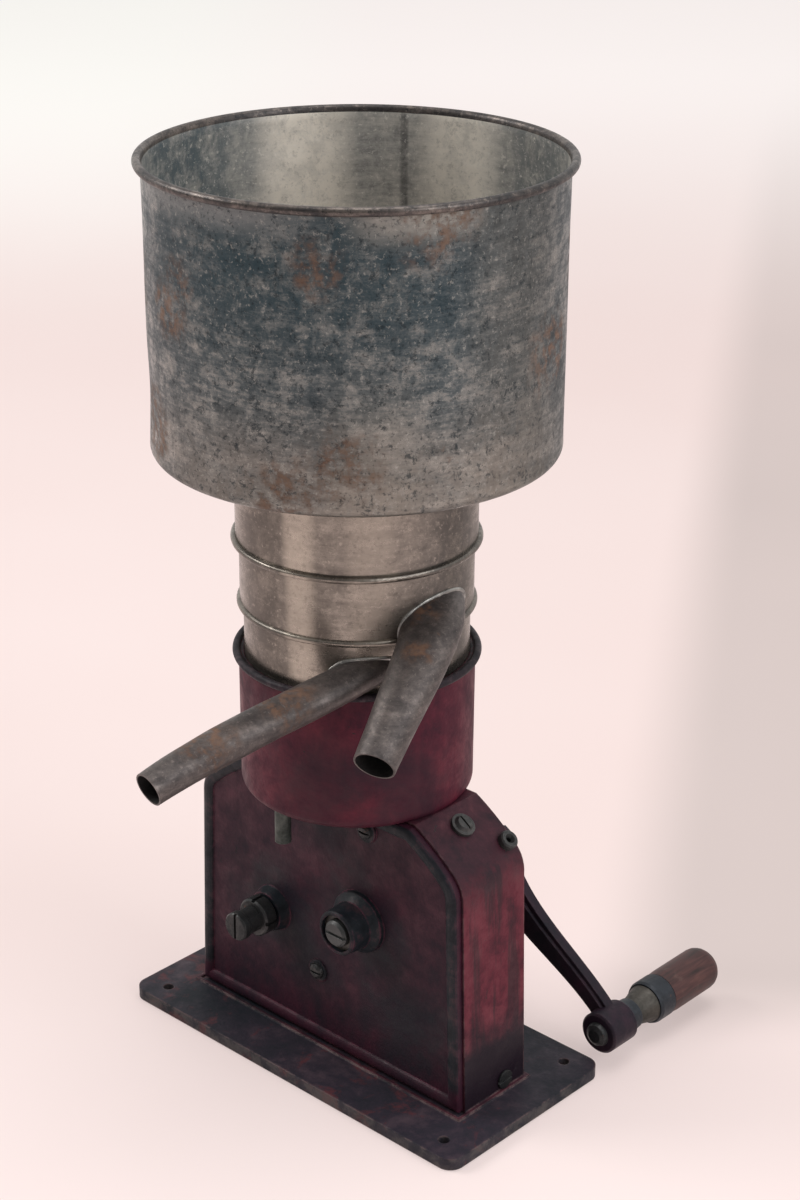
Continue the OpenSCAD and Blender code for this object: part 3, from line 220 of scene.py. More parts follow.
def tin(name, dark, mid, light, rust, rough, metal, pit=0.7, spots=(), painted_light=()):
    """Aged tin plate: clouds of tarnish, wiped streaks, pits, and rust that breaks through.

    spots: (x, y, z, size) of rust patches, in mm. painted_light: (angle, start, z0, z1, colour, share) of
    painted highlights, reflections and shade on the sides, and a seam's dark line, full at the angle and
    gone where the cosine of the turn from it falls to start, and full at the height z1 and gone at z0.
    """
    k = Look(name)
    cloud = k.noise(14, 7, 0.70, 0.5)
    mottle = k.noise(95, 7, 0.76, 0.4, k.coords((1, 1, 0.8), (0.3, 0.2, 0.1)))
    streak = k.noise(120, 6, 0.72, 0.1, k.coords((0.20, 0.20, 1.5)))
    weave = k.noise(330, 5, 0.75, 0.2, k.coords((0.6, 0.6, 1.6)))
    value = k.plus(k.times(cloud, 0.26), k.times(mottle, 0.30))
    value = k.plus(value, k.times(streak, 0.26))
    value = k.plus(value, k.times(weave, 0.18))
    colour = k.ramp(value, [(0.405, dark), (0.495, mid), (0.60, light)])
    # Painted light and shade: each row lightens or darkens a side of the tin by its angle and height.
    for angle, start, z0, z1, painted_tint, share in painted_light:
        where = k.step(k.side(angle), start, 1.0)
        where = k.times(where, k.past("Z", z0, z1))
        where = k.times(where, k.step(mottle, 0.62, 0.42, (0.55, 1.0)))
        colour = k.over(colour, painted_tint, where, share)

    fine = k.noise(420, 4, 0.7, 0.2)
    colour = k.over(colour, toned(dark, 0.4), k.step(fine, 0.56, 0.66), pit * 0.8)
    pits = k.step(k.noise(170, 6, 0.80, 0.3), 0.55, 0.62)
    colour = k.over(colour, toned(dark, 0.6), pits, pit)
    colour = k.over(colour, toned(light, 1.35), k.step(fine, 0.42, 0.34), 0.4)

    blotch = k.noise(34, 6, 0.70, 0.6, k.coords((1, 1, 0.8), (0.31, 0.07, 0.13)))
    grain = k.noise(160, 4, 0.65)
    ragged = k.plus(k.times(blotch, 0.75), k.times(grain, 0.25))
    rusty = k.step(ragged, 0.68 - 0.08 * rust, 0.75 - 0.06 * rust)
    for x, y, z, size in spots:
        near = k.times(k.spot(x, y, z, size, 0.6), k.step(grain, 0.38, 0.62))
        rusty = k.math("MAXIMUM", rusty, near)
    rust_colour = k.ramp(grain, [(0.35, (0.055, 0.024, 0.017)), (0.65, (0.185, 0.090, 0.048))])
    colour = k.over(colour, rust_colour, rusty, 0.72)

    shine = k.times(k.minus(1.0, rusty), metal)
    gloss = k.step(value, 0.42, 0.60, (rough[1], rough[0]))
    gloss = k.plus(gloss, k.times(rusty, 0.3), clamp=True)
    normal = k.bump(k.noise(16, 2, 0.5), 0.45, 0.004)
    rise = k.minus(k.times(streak, 0.6), k.times(pits, 0.25 * pit))
    normal = k.bump(k.plus(rise, k.times(rusty, 0.3)), 0.30, 0.0006, normal)
    return k.finish(colour, gloss, shine, normal)


def paint_mottle(k):
    """Fine mottling of old paint, and the same mixed with broad clouds."""
    cloud = k.noise(18, 6, 0.66, 0.5)
    fine = k.noise(95, 5, 0.68, 0.3)
    return fine, k.plus(k.times(cloud, 0.62), k.times(fine, 0.38))


def paint_runs(k):
    """Upright streaks in the paint."""
    return k.noise(75, 5, 0.65, 0.15, k.coords((1, 1, 0.07)))


def paint_relief(k, rounded, chips):
    """Rough casting under paint with pores, lower where the paint is chipped off."""
    normal = k.bump(k.noise(48, 4, 0.6), 0.45, 0.0013, rounded)
    return k.bump(k.minus(k.noise(460, 3, 0.6), k.times(chips, 0.8)), 0.35, 0.0004, normal)


def paint(name, red, dark, light, wear, streak=0.0, grime=(), worn=None, proud=None, rim=None):
    """Old gloss paint on rough casting: grime in clouds, worn edges that also stand for a painted highlight,
    dark iron below, and painted shade where asked.

    grime: (x, y, z, size, share) of greasy places; proud: the y in mm in front of which it is painted near
    black as shade, above the foot; rim: the z in mm above which it is painted near black as shade on the
    rim; worn: the colour of rubbed edges, which also stands for a painted highlight.
    """
    k = Look(name)
    rounded, edge = k.edge(1.4)
    fine, value = paint_mottle(k)
    colour = k.ramp(value, [(0.38, dark), (0.51, red), (0.66, light)])
    if streak:
        runs = paint_runs(k)
        colour = k.over(colour, light, k.step(runs, 0.50, 0.68), streak)
        colour = k.over(colour, dark, k.step(runs, 0.46, 0.34), streak)
    for x, y, z, size, share in grime:
        near = k.times(k.spot(x, y, z, size, 0.8), k.step(fine, 0.30, 0.60, (0.5, 1.0)))
        colour = k.over(colour, GRIME, near, share)
    if rim is not None:
        # Painted shade: above the rim height the casing is painted near black.
        rim_shade = k.ramp(fine, [(0.36, (0.006, 0.008, 0.011)), (0.52, (0.015, 0.015, 0.020)),
                             (0.66, (0.07, 0.052, 0.060))])
        colour = k.over(colour, rim_shade, k.past("Z", rim - 0.4, rim + 0.4), 0.93)
    if proud is not None:
        # Painted shade: the front of the cover, above the foot, is painted near black.
        front = k.times(k.past("Y", proud + 0.2, proud - 0.6), k.past("Z", 18, 26))
        front_shade = k.ramp(fine, [(0.36, (0.006, 0.009, 0.012)), (0.52, (0.012, 0.017, 0.022)),
                             (0.66, (0.05, 0.03, 0.036))])
        colour = k.over(colour, front_shade, front, 0.92)
    chips = k.step(k.noise(150, 5, 0.72, 0.8), 0.70 - 0.06 * wear, 0.73 - 0.05 * wear)
    colour = k.mix(chips, colour, CHIPPED)
    # Rubbed edges, lightened as wear and also as a painted highlight.
    colour = k.over(colour, worn or toned(light, 2.2), k.times(edge, k.step(fine, 0.40, 0.58)), 0.7)
    gloss = k.step(value, 0.38, 0.66, (0.62, 0.34))
    gloss = k.plus(gloss, k.times(chips, 0.25), clamp=True)
    return k.finish(colour, gloss, 0.0, paint_relief(k, rounded, chips), Specular_IOR_Level=0.2)


def case_look():
    """The gear case: end walls a lighter red as painted light, other faces a darker red as painted shade, and
    a blue-black base plate.
    """
    k = Look("case")
    rounded, edge = k.edge(1.6)
    fine, value = paint_mottle(k)
    # Painted shade: the faces that do not face along x get this darker red.
    face = k.ramp(value, [(0.38, (0.018, 0.008, 0.014)), (0.52, (0.055, 0.012, 0.022)),
                          (0.66, (0.12, 0.028, 0.04))])

    runs = paint_runs(k)
    # Painted light: the end walls, which face along x, get this lighter red.
    end = k.ramp(value, [(0.35, (0.028, 0.006, 0.013)), (0.48, (0.112, 0.012, 0.025)),
                         (0.66, (0.19, 0.030, 0.046))])
    end = k.over(end, (0.24, 0.055, 0.070), k.step(runs, 0.52, 0.68), 0.6)
    end = k.over(end, (0.022, 0.009, 0.014), k.step(runs, 0.47, 0.36), 0.75)
    # The painted light on the end walls is full between about 85 and 145 mm and gone below 50 and above 185
    # mm, where the walls are near black.
    low = k.step(k.plus(k.axis("Z"), k.times(fine, 0.03)), 0.050, 0.085)
    high = k.step(k.plus(k.axis("Z"), k.times(fine, 0.04)), 0.185, 0.145)
    end = k.mix(k.times(low, high), (0.012, 0.006, 0.012), end)
    # Painted light and shade: the lighter red where the surface faces along x, the darker red elsewhere.
    colour = k.mix(k.step(k.facing("X"), 0.55, 0.85), face, end)

    plate = k.ramp(value, [(0.38, (0.010, 0.013, 0.019)), (0.52, (0.026, 0.022, 0.032)),
                           (0.66, (0.070, 0.050, 0.062))])
    plate = k.over(plate, (0.105, 0.028, 0.032), k.step(k.noise(38, 6, 0.75, 0.5), 0.54, 0.66), 0.75)
    grey_edge = k.times(k.step(k.facing("Z"), 0.5, 0.2), k.step(fine, 0.42, 0.60))
    plate = k.over(plate, (0.10, 0.088, 0.080), grey_edge, 0.45)
    colour = k.mix(k.past("Z", PLATE_T - 0.2, PLATE_T + 1.4), plate, colour)

    chips = k.step(k.noise(150, 5, 0.72, 0.8), 0.665, 0.70)
    colour = k.mix(chips, colour, CHIPPED)
    # Edges lightened, as wear and also as a painted highlight.
    colour = k.over(colour, (0.20, 0.12, 0.12), k.times(edge, k.step(fine, 0.42, 0.58)), 0.6)
    gloss = k.step(value, 0.38, 0.66, (0.62, 0.36))
    return k.finish(colour, gloss, 0.0, paint_relief(k, rounded, chips), Specular_IOR_Level=0.25)


def steel(name, dark, light, rough, metal, rust=0.0, turned=None, greasy=False):
    """Bare metal with oil stains, and edges lightened as wear and also as a painted highlight.

    turned: the axis of fine tool marks; greasy: its ends stick out of the case and carry grease.
    """
    k = Look(name)
    rounded, edge = k.edge(0.5)
    stain = k.noise(70, 5, 0.62, 0.4)
    value = k.plus(k.times(stain, 0.75), k.times(k.noise(600, 2, 0.6), 0.25))
    colour = k.ramp(value, [(0.36, dark), (0.66, light)])
    # Edges lightened, as wear and also as a painted highlight.
    colour = k.over(colour, toned(light, 1.6), edge, 0.5)
    if rust:
        spots = k.step(k.noise(110, 5, 0.7, 0.5), 0.66 - 0.1 * rust, 0.74 - 0.08 * rust)
        colour = k.over(colour, (0.13, 0.055, 0.03), spots, 0.75)
    if greasy:
        front, back = k.past("Y", OILY_FRONT, OILY_FRONT - 6), k.past("Y", OILY_BACK, OILY_BACK + 6)
        outside = k.plus(front, back, clamp=True)
        colour = k.over(colour, (0.012, 0.015, 0.016), outside, 0.93)
        metal = k.minus(metal, k.times(outside, metal))
    scale = {None: (1, 1, 1), "Y": (0.03, 1, 0.03), "Z": (0.03, 0.03, 1)}[turned]
    normal = k.bump(k.noise(1500, 2, 0.5, 0.0, k.coords(scale)), 0.25, 0.0002, rounded)
    return k.finish(colour, k.step(value, 0.36, 0.68, (rough[1], rough[0])), metal, normal)


def wood():
    """Dark worn wood, with its grain along the crank's pin."""
    k = Look("wood")
    grain = k.noise(260, 5, 0.62, 1.2, k.coords((1, 0.10, 1)))
    broad = k.noise(60, 3, 0.5, 0.4, k.coords((1, 0.25, 1)))
    value = k.plus(k.times(grain, 0.6), k.times(broad, 0.4))
    colour = k.ramp(value, [(0.38, (0.022, 0.009, 0.008)), (0.50, (0.060, 0.020, 0.019)),
                            (0.64, (0.115, 0.046, 0.038))])
    worn = k.step(k.noise(90, 4, 0.6, 0.4), 0.56, 0.68)
    colour = k.over(colour, (0.13, 0.075, 0.060), worn, 0.4)
    normal = k.bump(grain, 0.30, 0.0004)
    return k.finish(colour, k.step(value, 0.35, 0.7, (0.40, 0.60)), 0.0, normal, Specular_IOR_Level=0.4)


PLATE_T = 7.0                           # thickness of the base plate, in mm
OILY_FRONT, OILY_BACK = -28, 52         # shafts and bushes are oily past these places along y, in mm
INSIDE_FROM, INSIDE_FULL = 382, 415     # heights in mm where the painted reflections inside the can start and are full
GRIME = (0.010, 0.013, 0.019)
CHIPPED = (0.020, 0.019, 0.022)
BARE_STEEL = (0.24, 0.235, 0.23), (0.55, 0.54, 0.53)
BARE_BRONZE = (0.19, 0.11, 0.05), (0.46, 0.31, 0.15)
CAN_RUST = [(-72, -80, 470, 26), (-30, -106, 466, 20), (-20, -108, 480, 16), (-76, -78, 505, 18),
            (70, -84, 402, 24), (44, -100, 388, 22), (104, 30, 440, 26), (-84, -70, 420, 20),
            (-50, -98, 398, 24), (-98, -50, 500, 20), (98, -48, 520, 26), (60, -92, 500, 18),
            (-106, 30, 450, 22), (20, 108, 430, 30), (75, 80, 480, 34)]
# Painted light and shade on the can, one row each: a dark band high on the front, a tint on the right side, a
# highlight low on the front, a pale strip and a bright highlight under the rim, and a pale band round the
# front near the bottom.
CAN_PAINTED_LIGHT = [(-72, 0.35, 430, 490, (0.022, 0.049, 0.062), 0.75),
              (0, 0.93, 300, 301, (0.14, 0.125, 0.105), 0.35),
              (-42, 0.96, 460, 400, (0.27, 0.25, 0.21), 0.35),
              (-95, 0.70, 508, 526, (0.34, 0.34, 0.33), 0.55),
              (-30, 0.93, 506, 526, (0.50, 0.46, 0.40), 0.65),
              (-46, -0.2, 440, 384, (0.33, 0.275, 0.225), 0.45)]
# Painted reflections inside the can: two bright bands and two dark sides, and a dark line at the lap seam.
INNER_REFLECTIONS_AND_SEAM = [(149, 0.955, INSIDE_FROM, INSIDE_FULL, (0.98, 0.90, 0.79), 0.9),
                (102, 0.965, INSIDE_FROM, INSIDE_FULL, (0.95, 0.88, 0.78), 0.9),
                (SEAM_ANGLE + 2.5, 0.9996, INSIDE_FROM, INSIDE_FULL, (0.07, 0.07, 0.075), 0.7),
                (196, 0.78, INSIDE_FROM, INSIDE_FULL, (0.065, 0.10, 0.12), 0.88),
                (66, 0.90, INSIDE_FROM, INSIDE_FULL, (0.10, 0.12, 0.13), 0.8)]
# Painted reflections on the cover rings: four darker sides and three bright upright bands.
RING_REFLECTIONS = [(-98, 0.93, 0, 10, (0.10, 0.09, 0.08), 0.75),
               (4, 0.90, 0, 10, (0.085, 0.08, 0.075), 0.75),
               (92, 0.90, 0, 10, (0.11, 0.10, 0.09), 0.6),
               (190, 0.93, 0, 10, (0.10, 0.09, 0.085), 0.7),
               (140, 0.97, 0, 10, (0.52, 0.46, 0.38), 0.4),
               (-74, 0.985, 0, 10, (0.62, 0.55, 0.46), 0.5),
               (-40, 0.97, 0, 10, (0.50, 0.44, 0.37), 0.4)]
SPOUT_RUST = [(40, -100, 268, 22), (66, -20, 300, 16), (80, -42, 288, 12), (32, -150, 262, 24)]
COVER_GRIME = [(-42, -30, 82, 46, 0.85), (27, -30, 102, 46, 0.85), (66, -30, 40, 62, 0.85),
               (-6, -30, 55, 30, 0.6), (0, -30, 172, 50, 0.8)]
CASING_GRIME = [(28, -64, 196, 44, 0.55), (62, -30, 190, 44, 0.6), (-10, -66, 235, 30, 0.35),
                (-40, -55, 176, 26, 0.4)]

LOOKS = {
    "tin_can": tin("tin_can", (0.022, 0.037, 0.046), (0.092, 0.110, 0.116), (0.32, 0.315, 0.29), 0.5,
                   (0.24, 0.52), 0.65, 0.7, CAN_RUST, CAN_PAINTED_LIGHT),
    "tin_inside": tin("tin_inside", (0.24, 0.235, 0.225), (0.46, 0.44, 0.41), (0.72, 0.68, 0.62), 0.05,
                      (0.30, 0.5), 0.45, 0.25, (), INNER_REFLECTIONS_AND_SEAM),
    "tin_ring": tin("tin_ring", (0.140, 0.124, 0.110), (0.225, 0.200, 0.174), (0.34, 0.30, 0.26), 0.0,
                    (0.22, 0.36), 0.85, 0.3, (), RING_REFLECTIONS),
    "tin_spout": tin("tin_spout", (0.050, 0.042, 0.042), (0.105, 0.088, 0.083), (0.20, 0.165, 0.152), 0.6,
                     (0.36, 0.54), 0.45, 0.3, SPOUT_RUST),
    "solder": tin("solder", (0.16, 0.155, 0.15), (0.36, 0.35, 0.33), (0.64, 0.62, 0.58), 0.0,
                  (0.26, 0.42), 0.85, 0.2),
    "tin_rim": tin("tin_rim", (0.026, 0.028, 0.031), (0.075, 0.065, 0.062), (0.24, 0.20, 0.175), 0.6,
                   (0.28, 0.46), 0.65),
    # Painted shade: the insides of the spouts get a near-black tin, with some real rust.
    "spout_inside": tin("spout_inside", (0.008, 0.008, 0.009), (0.020, 0.018, 0.018), (0.045, 0.040, 0.038),
                        0.3, (0.5, 0.7), 0.2, 0.3),
    "red_case": case_look(),
    "red_cover": paint("red_cover", (0.036, 0.0075, 0.018), (0.016, 0.007, 0.015), (0.070, 0.014, 0.028),
                       0.40, 0.12, COVER_GRIME, proud=-29.6),
    "red_casing": paint("red_casing", (0.078, 0.0080, 0.021), (0.034, 0.0065, 0.016), (0.15, 0.014, 0.030),
                        0.35, 0.20, CASING_GRIME, rim=252.8),
    "crank": paint("crank", (0.020, 0.010, 0.019), (0.008, 0.009, 0.014), (0.050, 0.018, 0.033), 0.5,
                   worn=(0.09, 0.06, 0.07)),
    "dark_steel": steel("dark_steel", (0.014, 0.016, 0.018), (0.060, 0.060, 0.060), (0.32, 0.6), 0.6, 0.3),
    "bright_steel": steel("bright_steel", *BARE_STEEL, (0.22, 0.4), 1.0, 0.1, "Z"),
    "oily_steel": steel("oily_steel", *BARE_STEEL, (0.3, 0.5), 0.95, 0.1, "Y", True),
    "oily_bronze": steel("oily_bronze", *BARE_BRONZE, (0.3, 0.5), 0.95, 0.0, "Y", True),
    "gear_iron": steel("gear_iron", (0.09, 0.09, 0.09), (0.25, 0.25, 0.25), (0.3, 0.5), 0.9, 0.1, "Y"),
    "bronze": steel("bronze", *BARE_BRONZE, (0.28, 0.5), 0.95, 0.0, "Z"),
    "brass": steel("brass", (0.10, 0.078, 0.045), (0.28, 0.22, 0.13), (0.30, 0.55), 0.85),
    "pale_metal": steel("pale_metal", (0.12, 0.122, 0.108), (0.27, 0.27, 0.24), (0.38, 0.62), 0.6, 0.2),
    "ferrule": steel("ferrule", (0.026, 0.024, 0.020), (0.080, 0.070, 0.058), (0.38, 0.62), 0.4, 0.2),
    "band": steel("band", (0.006, 0.009, 0.014), (0.026, 0.032, 0.042), (0.36, 0.6), 0.3, 0.2),
    "oily_cap": steel("oily_cap", (0.018, 0.022, 0.023), (0.085, 0.080, 0.078), (0.34, 0.6), 0.4, 0.3),
    "drain": steel("drain", (0.030, 0.036, 0.032), (0.10, 0.11, 0.098), (0.38, 0.62), 0.4, 0.2),
    "bowl_tin": steel("bowl_tin", (0.30, 0.29, 0.27), (0.56, 0.54, 0.51), (0.22, 0.4), 0.95, 0.05, "Z"),
    "rubber": steel("rubber", (0.010, 0.009, 0.008), (0.03, 0.027, 0.024), (0.7, 0.85), 0.0),
    "wood": wood(),
}

BY_SLOT = {
    "red_paint": "red_case", "cover_paint": "red_cover", "casing_paint": "red_casing", "crank_paint": "crank",
    "dark_steel": "dark_steel", "bright_steel": "bright_steel", "gear_iron": "gear_iron", "bronze": "bronze",
    "brass": "brass", "pale_metal": "pale_metal", "bowl_steel": "bowl_tin", "rubber": "rubber",
    "aged_tin": "tin_ring", "spout_tin": "tin_spout", "can_tin": "tin_can", "wood": "wood",
}
BY_NODE = {"crank_shaft": "oily_steel", "wheel_shaft": "oily_steel", "crank_bushes": "oily_bronze",
           "oil_cap": "oily_cap", "oil_cup": "oily_cap", "drain_pipe": "drain", "grip_ferrule": "ferrule",
           "grip_band": "band", "handle_collar": "band"}


def dress_nodes():
    """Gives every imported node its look, by its own name or by its material slot."""
    for part in frame["record"]["subparts"]:
        obj = nodes[part["node"]]
        look = LOOKS[BY_NODE.get(part["node"], BY_SLOT[part["material_slot"]])]
        if not obj.data.materials:
            obj.data.materials.append(look)
        for place in obj.material_slots:
            place.material = look


dress_nodes()


# ------------------------------------------------------------------ mesh tools (millimetres)

def add_piece(name, verts, faces, looks, body, pick=None, sharp=35):
    """A mesh object from points in mm; pick(face number) gives the number of the face's look."""
    mesh = bpy.data.meshes.new(name)
    mesh.from_pydata([Vector(v) * MM for v in verts], [], faces)
    for look in looks:
        mesh.materials.append(LOOKS[look])
    if pick:
        for face in mesh.polygons:
            face.material_index = pick(face.index)
    mesh.shade_smooth()
    mesh.set_sharp_from_angle(angle=math.radians(sharp))
    obj = bpy.data.objects.new(name, mesh)
    bpy.context.collection.objects.link(obj)
    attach(obj, body)
    return obj


def grid_faces(rows, columns):
    """Quads of a grid of points stored row by row and closed both ways."""
    faces = []
    for i in range(rows):
        j = (i + 1) % rows
        for a in range(columns):
            b = (a + 1) % columns
            faces.append((i * columns + a, j * columns + a, j * columns + b, i * columns + b))
    return faces


def turned_over(faces):
    """The same faces with their outsides on the other side."""
    return [tuple(reversed(face)) for face in faces]


def spun(profile, steps, warp):
    """Points and faces of a closed profile of (r, z), outside upwards, turned about the spindle.

    warp(angle, r, z) gives the r and z that a point of the profile has at that angle.
    """
    verts = []
    for i in range(steps):
        angle = TAU * i / steps
        for r, z in profile:
            r, z = warp(angle, r, z)
            verts.append((r * math.cos(angle), SPINDLE_Y + r * math.sin(angle), z))
    return verts, grid_faces(steps, len(profile))


def arc(x, z, r, start, stop, steps):
    """Points of an arc round (x, z), from one angle to another in degrees."""
    return [(x + r * math.cos(math.radians(start + (stop - start) * i / steps)),
             z + r * math.sin(math.radians(start + (stop - start) * i / steps))) for i in range(steps + 1)]


def divide(points, longest):
    """The same path with points added, so that no straight is longer than longest."""
    path = []
    for (r0, z0), (r1, z1) in zip(points, points[1:]):
        parts = max(1, math.ceil(math.hypot(r1 - r0, z1 - z0) / longest))
        path += [(r0 + (r1 - r0) * i / parts, z0 + (z1 - z0) * i / parts) for i in range(parts)]
    return path + [points[-1]]


def copy_part(name, node, keep, look, body):
    """Copies those faces of a CAD node whose points all pass keep(radius, z)."""
    source = nodes[node].data
    places = [v.co / MM for v in source.vertices]
    far = [(math.hypot(p.x, p.y - SPINDLE_Y), p.z) for p in places]
    kept = [tuple(f.vertices) for f in source.polygons if all(keep(*far[v]) for v in f.vertices)]
    used = sorted({v for face in kept for v in face})
    number = {v: i for i, v in enumerate(used)}
    verts = [places[v] for v in used]
    faces = [tuple(number[v] for v in face) for face in kept]
    add_piece(name, verts, faces, [look], body)


# ------------------------------------------------------------------ supply can

CAN_R, CAN_Z, CAN_TOP = 110.0, 373.5, 531.5
CAN_SHEET, CAN_EDGE = 1.0, 5.0
ROLL_R, ROLL_OUT = 2.4, 1.7             # the wired rim, and how far its wire is outside the wall
SKIN_END, LINING_END = 4.4, 3.6         # how far below the top the wall runs into the rim
OUTLET_R = 9.0
SKIRT_IN, SKIRT_OUT = 62.0, 65.2        # the skirt under the can stands between these radii
FLAT_R = 60.0                           # the can's bottom is flat inside this radius
WAVE, WAVE_ROUND, WAVE_UP = 0.28, 2.2, 0.022    # unevenness of the sheet, and how quickly it changes
FADE_TOP, FADE_BOTTOM = 30, 12          # dents fade out over these heights
CAN_STEPS, LONG_STEP, SHORT_STEP = 240, 20, 4   # faces round the can, and their lengths in bottom and wall
SEAM_WIDE, SEAM_STEP = 2.2, 0.7         # half width in degrees, and height inside the can
# Dents: angle, height, size and depth
DENTS = [(-96, 480, 24, 0.9), (-60, 440, 30, 0.8), (-38, 500, 26, 0.7), (-12, 420, 30, 0.9),
         (20, 470, 34, 0.8), (-130, 410, 28, 0.8), (75, 440, 34, 0.8), (130, 500, 30, 0.7),
         (175, 440, 36, 0.8), (-70, 392, 18, 0.6)]


def can_warp(angle, r, z):
    """Shallow dents and a lapped seam in the sheet of the can; its rim and bottom stay true."""
    if r < FLAT_R:
        return r, z
    sheet = noise.noise(Vector((math.cos(angle) * WAVE_ROUND, math.sin(angle) * WAVE_ROUND, z * WAVE_UP)))
    push = WAVE + WAVE * sheet
    for where, height, size, depth in DENTS:
        turn = (angle - math.radians(where) + math.pi) % TAU - math.pi
        away = math.hypot(turn * CAN_R, z - height)
        push += depth * math.exp(-(away / size) ** 2 * 2)
    push *= min(1.0, max(0.0, (CAN_TOP - z) / FADE_TOP)) * min(1.0, max(0.0, (z - CAN_Z) / FADE_BOTTOM))
    if abs(math.degrees(angle) - SEAM_ANGLE) < SEAM_WIDE and abs(r - (CAN_R - CAN_SHEET)) < 0.2:
        push += SEAM_STEP
    return r - push, z


def supply_can():
    """The dented can with its rim, and its outlet and skirt as they are in the CAD node."""
    outer = arc(CAN_R - CAN_EDGE, CAN_Z + CAN_EDGE, CAN_EDGE, -90, 0, 8)
    inner = arc(CAN_R - CAN_EDGE, CAN_Z + CAN_EDGE, CAN_EDGE - CAN_SHEET, 0, -90, 8)
    skin = divide([(OUTLET_R, CAN_Z), outer[0]], LONG_STEP)[:-1]
    skin += divide(outer + [(CAN_R, CAN_TOP - SKIN_END)], SHORT_STEP)
    rim = arc(CAN_R + ROLL_OUT, CAN_TOP - ROLL_R, ROLL_R, 225, 535, 20)
    lining = divide([(CAN_R - CAN_SHEET, CAN_TOP - LINING_END)] + inner, SHORT_STEP)[:-1]
    lining += divide([inner[-1], (OUTLET_R, CAN_Z + CAN_SHEET)], LONG_STEP)
    profile = skin + rim + lining
    verts, faces = spun(profile, CAN_STEPS, can_warp)

    def pick(face):
        place = face % len(profile)
        return 0 if place < len(skin) else 2 if place < len(skin) + len(rim) else 1

    def in_outlet(r, z):
        return r < OUTLET_R + 0.05

    def in_skirt(r, z):
        return SKIRT_IN < r < SKIRT_OUT and z < CAN_Z + CAN_SHEET

    looks = ["tin_can", "tin_inside", "tin_rim"]
    shell = add_piece("can_shell", verts, faces, looks, "can", pick, sharp=40)
    copy_part("can_outlet", "supply_can", in_outlet, "brass", "can")
    copy_part("can_skirt", "supply_can", in_skirt, "tin_ring", "can")
    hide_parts("supply_can")


supply_can()


# ------------------------------------------------------------------ spouts

SKIM_PATH = [(48.4, -8, 274), (42.33, -64.88, 261.26), (34.78, -137.68, 260.15), (30, -185, 246.3)]
CREAM_PATH = [(40, 9, 298.9), (78, -15, 298.9), (76.85, -38.67, 281.22), (95, -90, 246.9)]
SPOUT_SIDES, SPOUT_ROWS, SPOUT_SHEET = 56, 44, 1.0
SPOUT_SWELL = 1.2                       # how much wider the spout is halfway
DENT, DENT_PITCH, DENT_OUT = 0.35, 7, 0.4       # depth of the dents, how close they are, the most outward
INSET, MOUTH_FADE = 0.05, 6             # the skin lies this deep, and its dents fade towards the mouth
LAP_START, LAP_WIDE, LAP_RISE = 300, 14, 0.35   # the lapped seam, in degrees, and its height
WALL_WITHIN, HALVINGS = 0.6, 24         # share of the path in which the wall is sought, and how finely
BEAD_R, BEAD_SIDES, BEAD_FLAT = 1.5, 10, 0.7
BEAD_UNEVEN, BEAD_PITCH = 0.45, 0.16


def curve(path, t):
    """A point of the cubic curve with the four control points of the path."""
    a, b, c, d = (Vector(p) for p in path)
    return a * (1 - t) ** 3 + 3 * b * t * (1 - t) ** 2 + 3 * c * t * t * (1 - t) + d * t ** 3


def spout_point(path, root, mouth_r, less, t, angle):
    """A point of the spout's skin; root is the half width and half height where it starts."""
    ahead = (curve(path, t + 0.001) - curve(path, t - 0.001)).normalized()
    side = Vector((0, 0, 1)).cross(ahead).normalized()
    up = ahead.cross(side)
    swell = SPOUT_SWELL * math.sin(math.pi * t)
    half = [r + (mouth_r - r) * t + swell - less for r in root]
    return curve(path, t) + side * half[0] * math.cos(angle) + up * half[1] * math.sin(angle)


def wall_start(path, root, mouth_r, less, wall_r, angle):
    """How far along the path the skin leaves the round wall it is soldered to."""
    low, high = 0.0, WALL_WITHIN
    for _ in range(HALVINGS):
        t = (low + high) / 2
        p = spout_point(path, root, mouth_r, less, t, angle)
        low, high = (t, high) if math.hypot(p.x, p.y - SPINDLE_Y) < wall_r else (low, t)
    return (low + high) / 2


def spout(name, path, root, mouth_r, wall_r, body, seed):
    """A dented sheet tube with a lapped seam, from the wall to a true mouth, and its bead of solder."""
    angles = [TAU * a / SPOUT_SIDES for a in range(SPOUT_SIDES)]
    verts = []
    for layer in (0, 1):
        less = SPOUT_SHEET * layer
        starts = [wall_start(path, root, mouth_r, less, wall_r, angle) for angle in angles]
        for i in range(SPOUT_ROWS + 1):
            share = i / SPOUT_ROWS if layer == 0 else 1 - i / SPOUT_ROWS
            for angle, start in zip(angles, starts):
                t = start + (1 - start) * share
                dent = DENT * noise.noise(Vector((t * DENT_PITCH + seed, math.cos(angle), math.sin(angle))))
                if (math.degrees(angle) - LAP_START) % 360 < LAP_WIDE and layer == 0:
                    dent -= LAP_RISE
                dent = dent * (1 - share ** MOUTH_FADE) + INSET
                verts.append(spout_point(path, root, mouth_r, less + max(dent, -DENT_OUT), t, angle))

    def pick(face):
        return 1 if face // SPOUT_SIDES > SPOUT_ROWS else 0

    faces = turned_over(grid_faces(2 * (SPOUT_ROWS + 1), SPOUT_SIDES))
    looks = ["tin_spout", "spout_inside"]
    tube = add_piece(name + "_tube", verts, faces, looks, body, pick, sharp=50)
    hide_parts(name + "_spout")
    bead(name + "_solder", verts[:SPOUT_SIDES], seed, body)


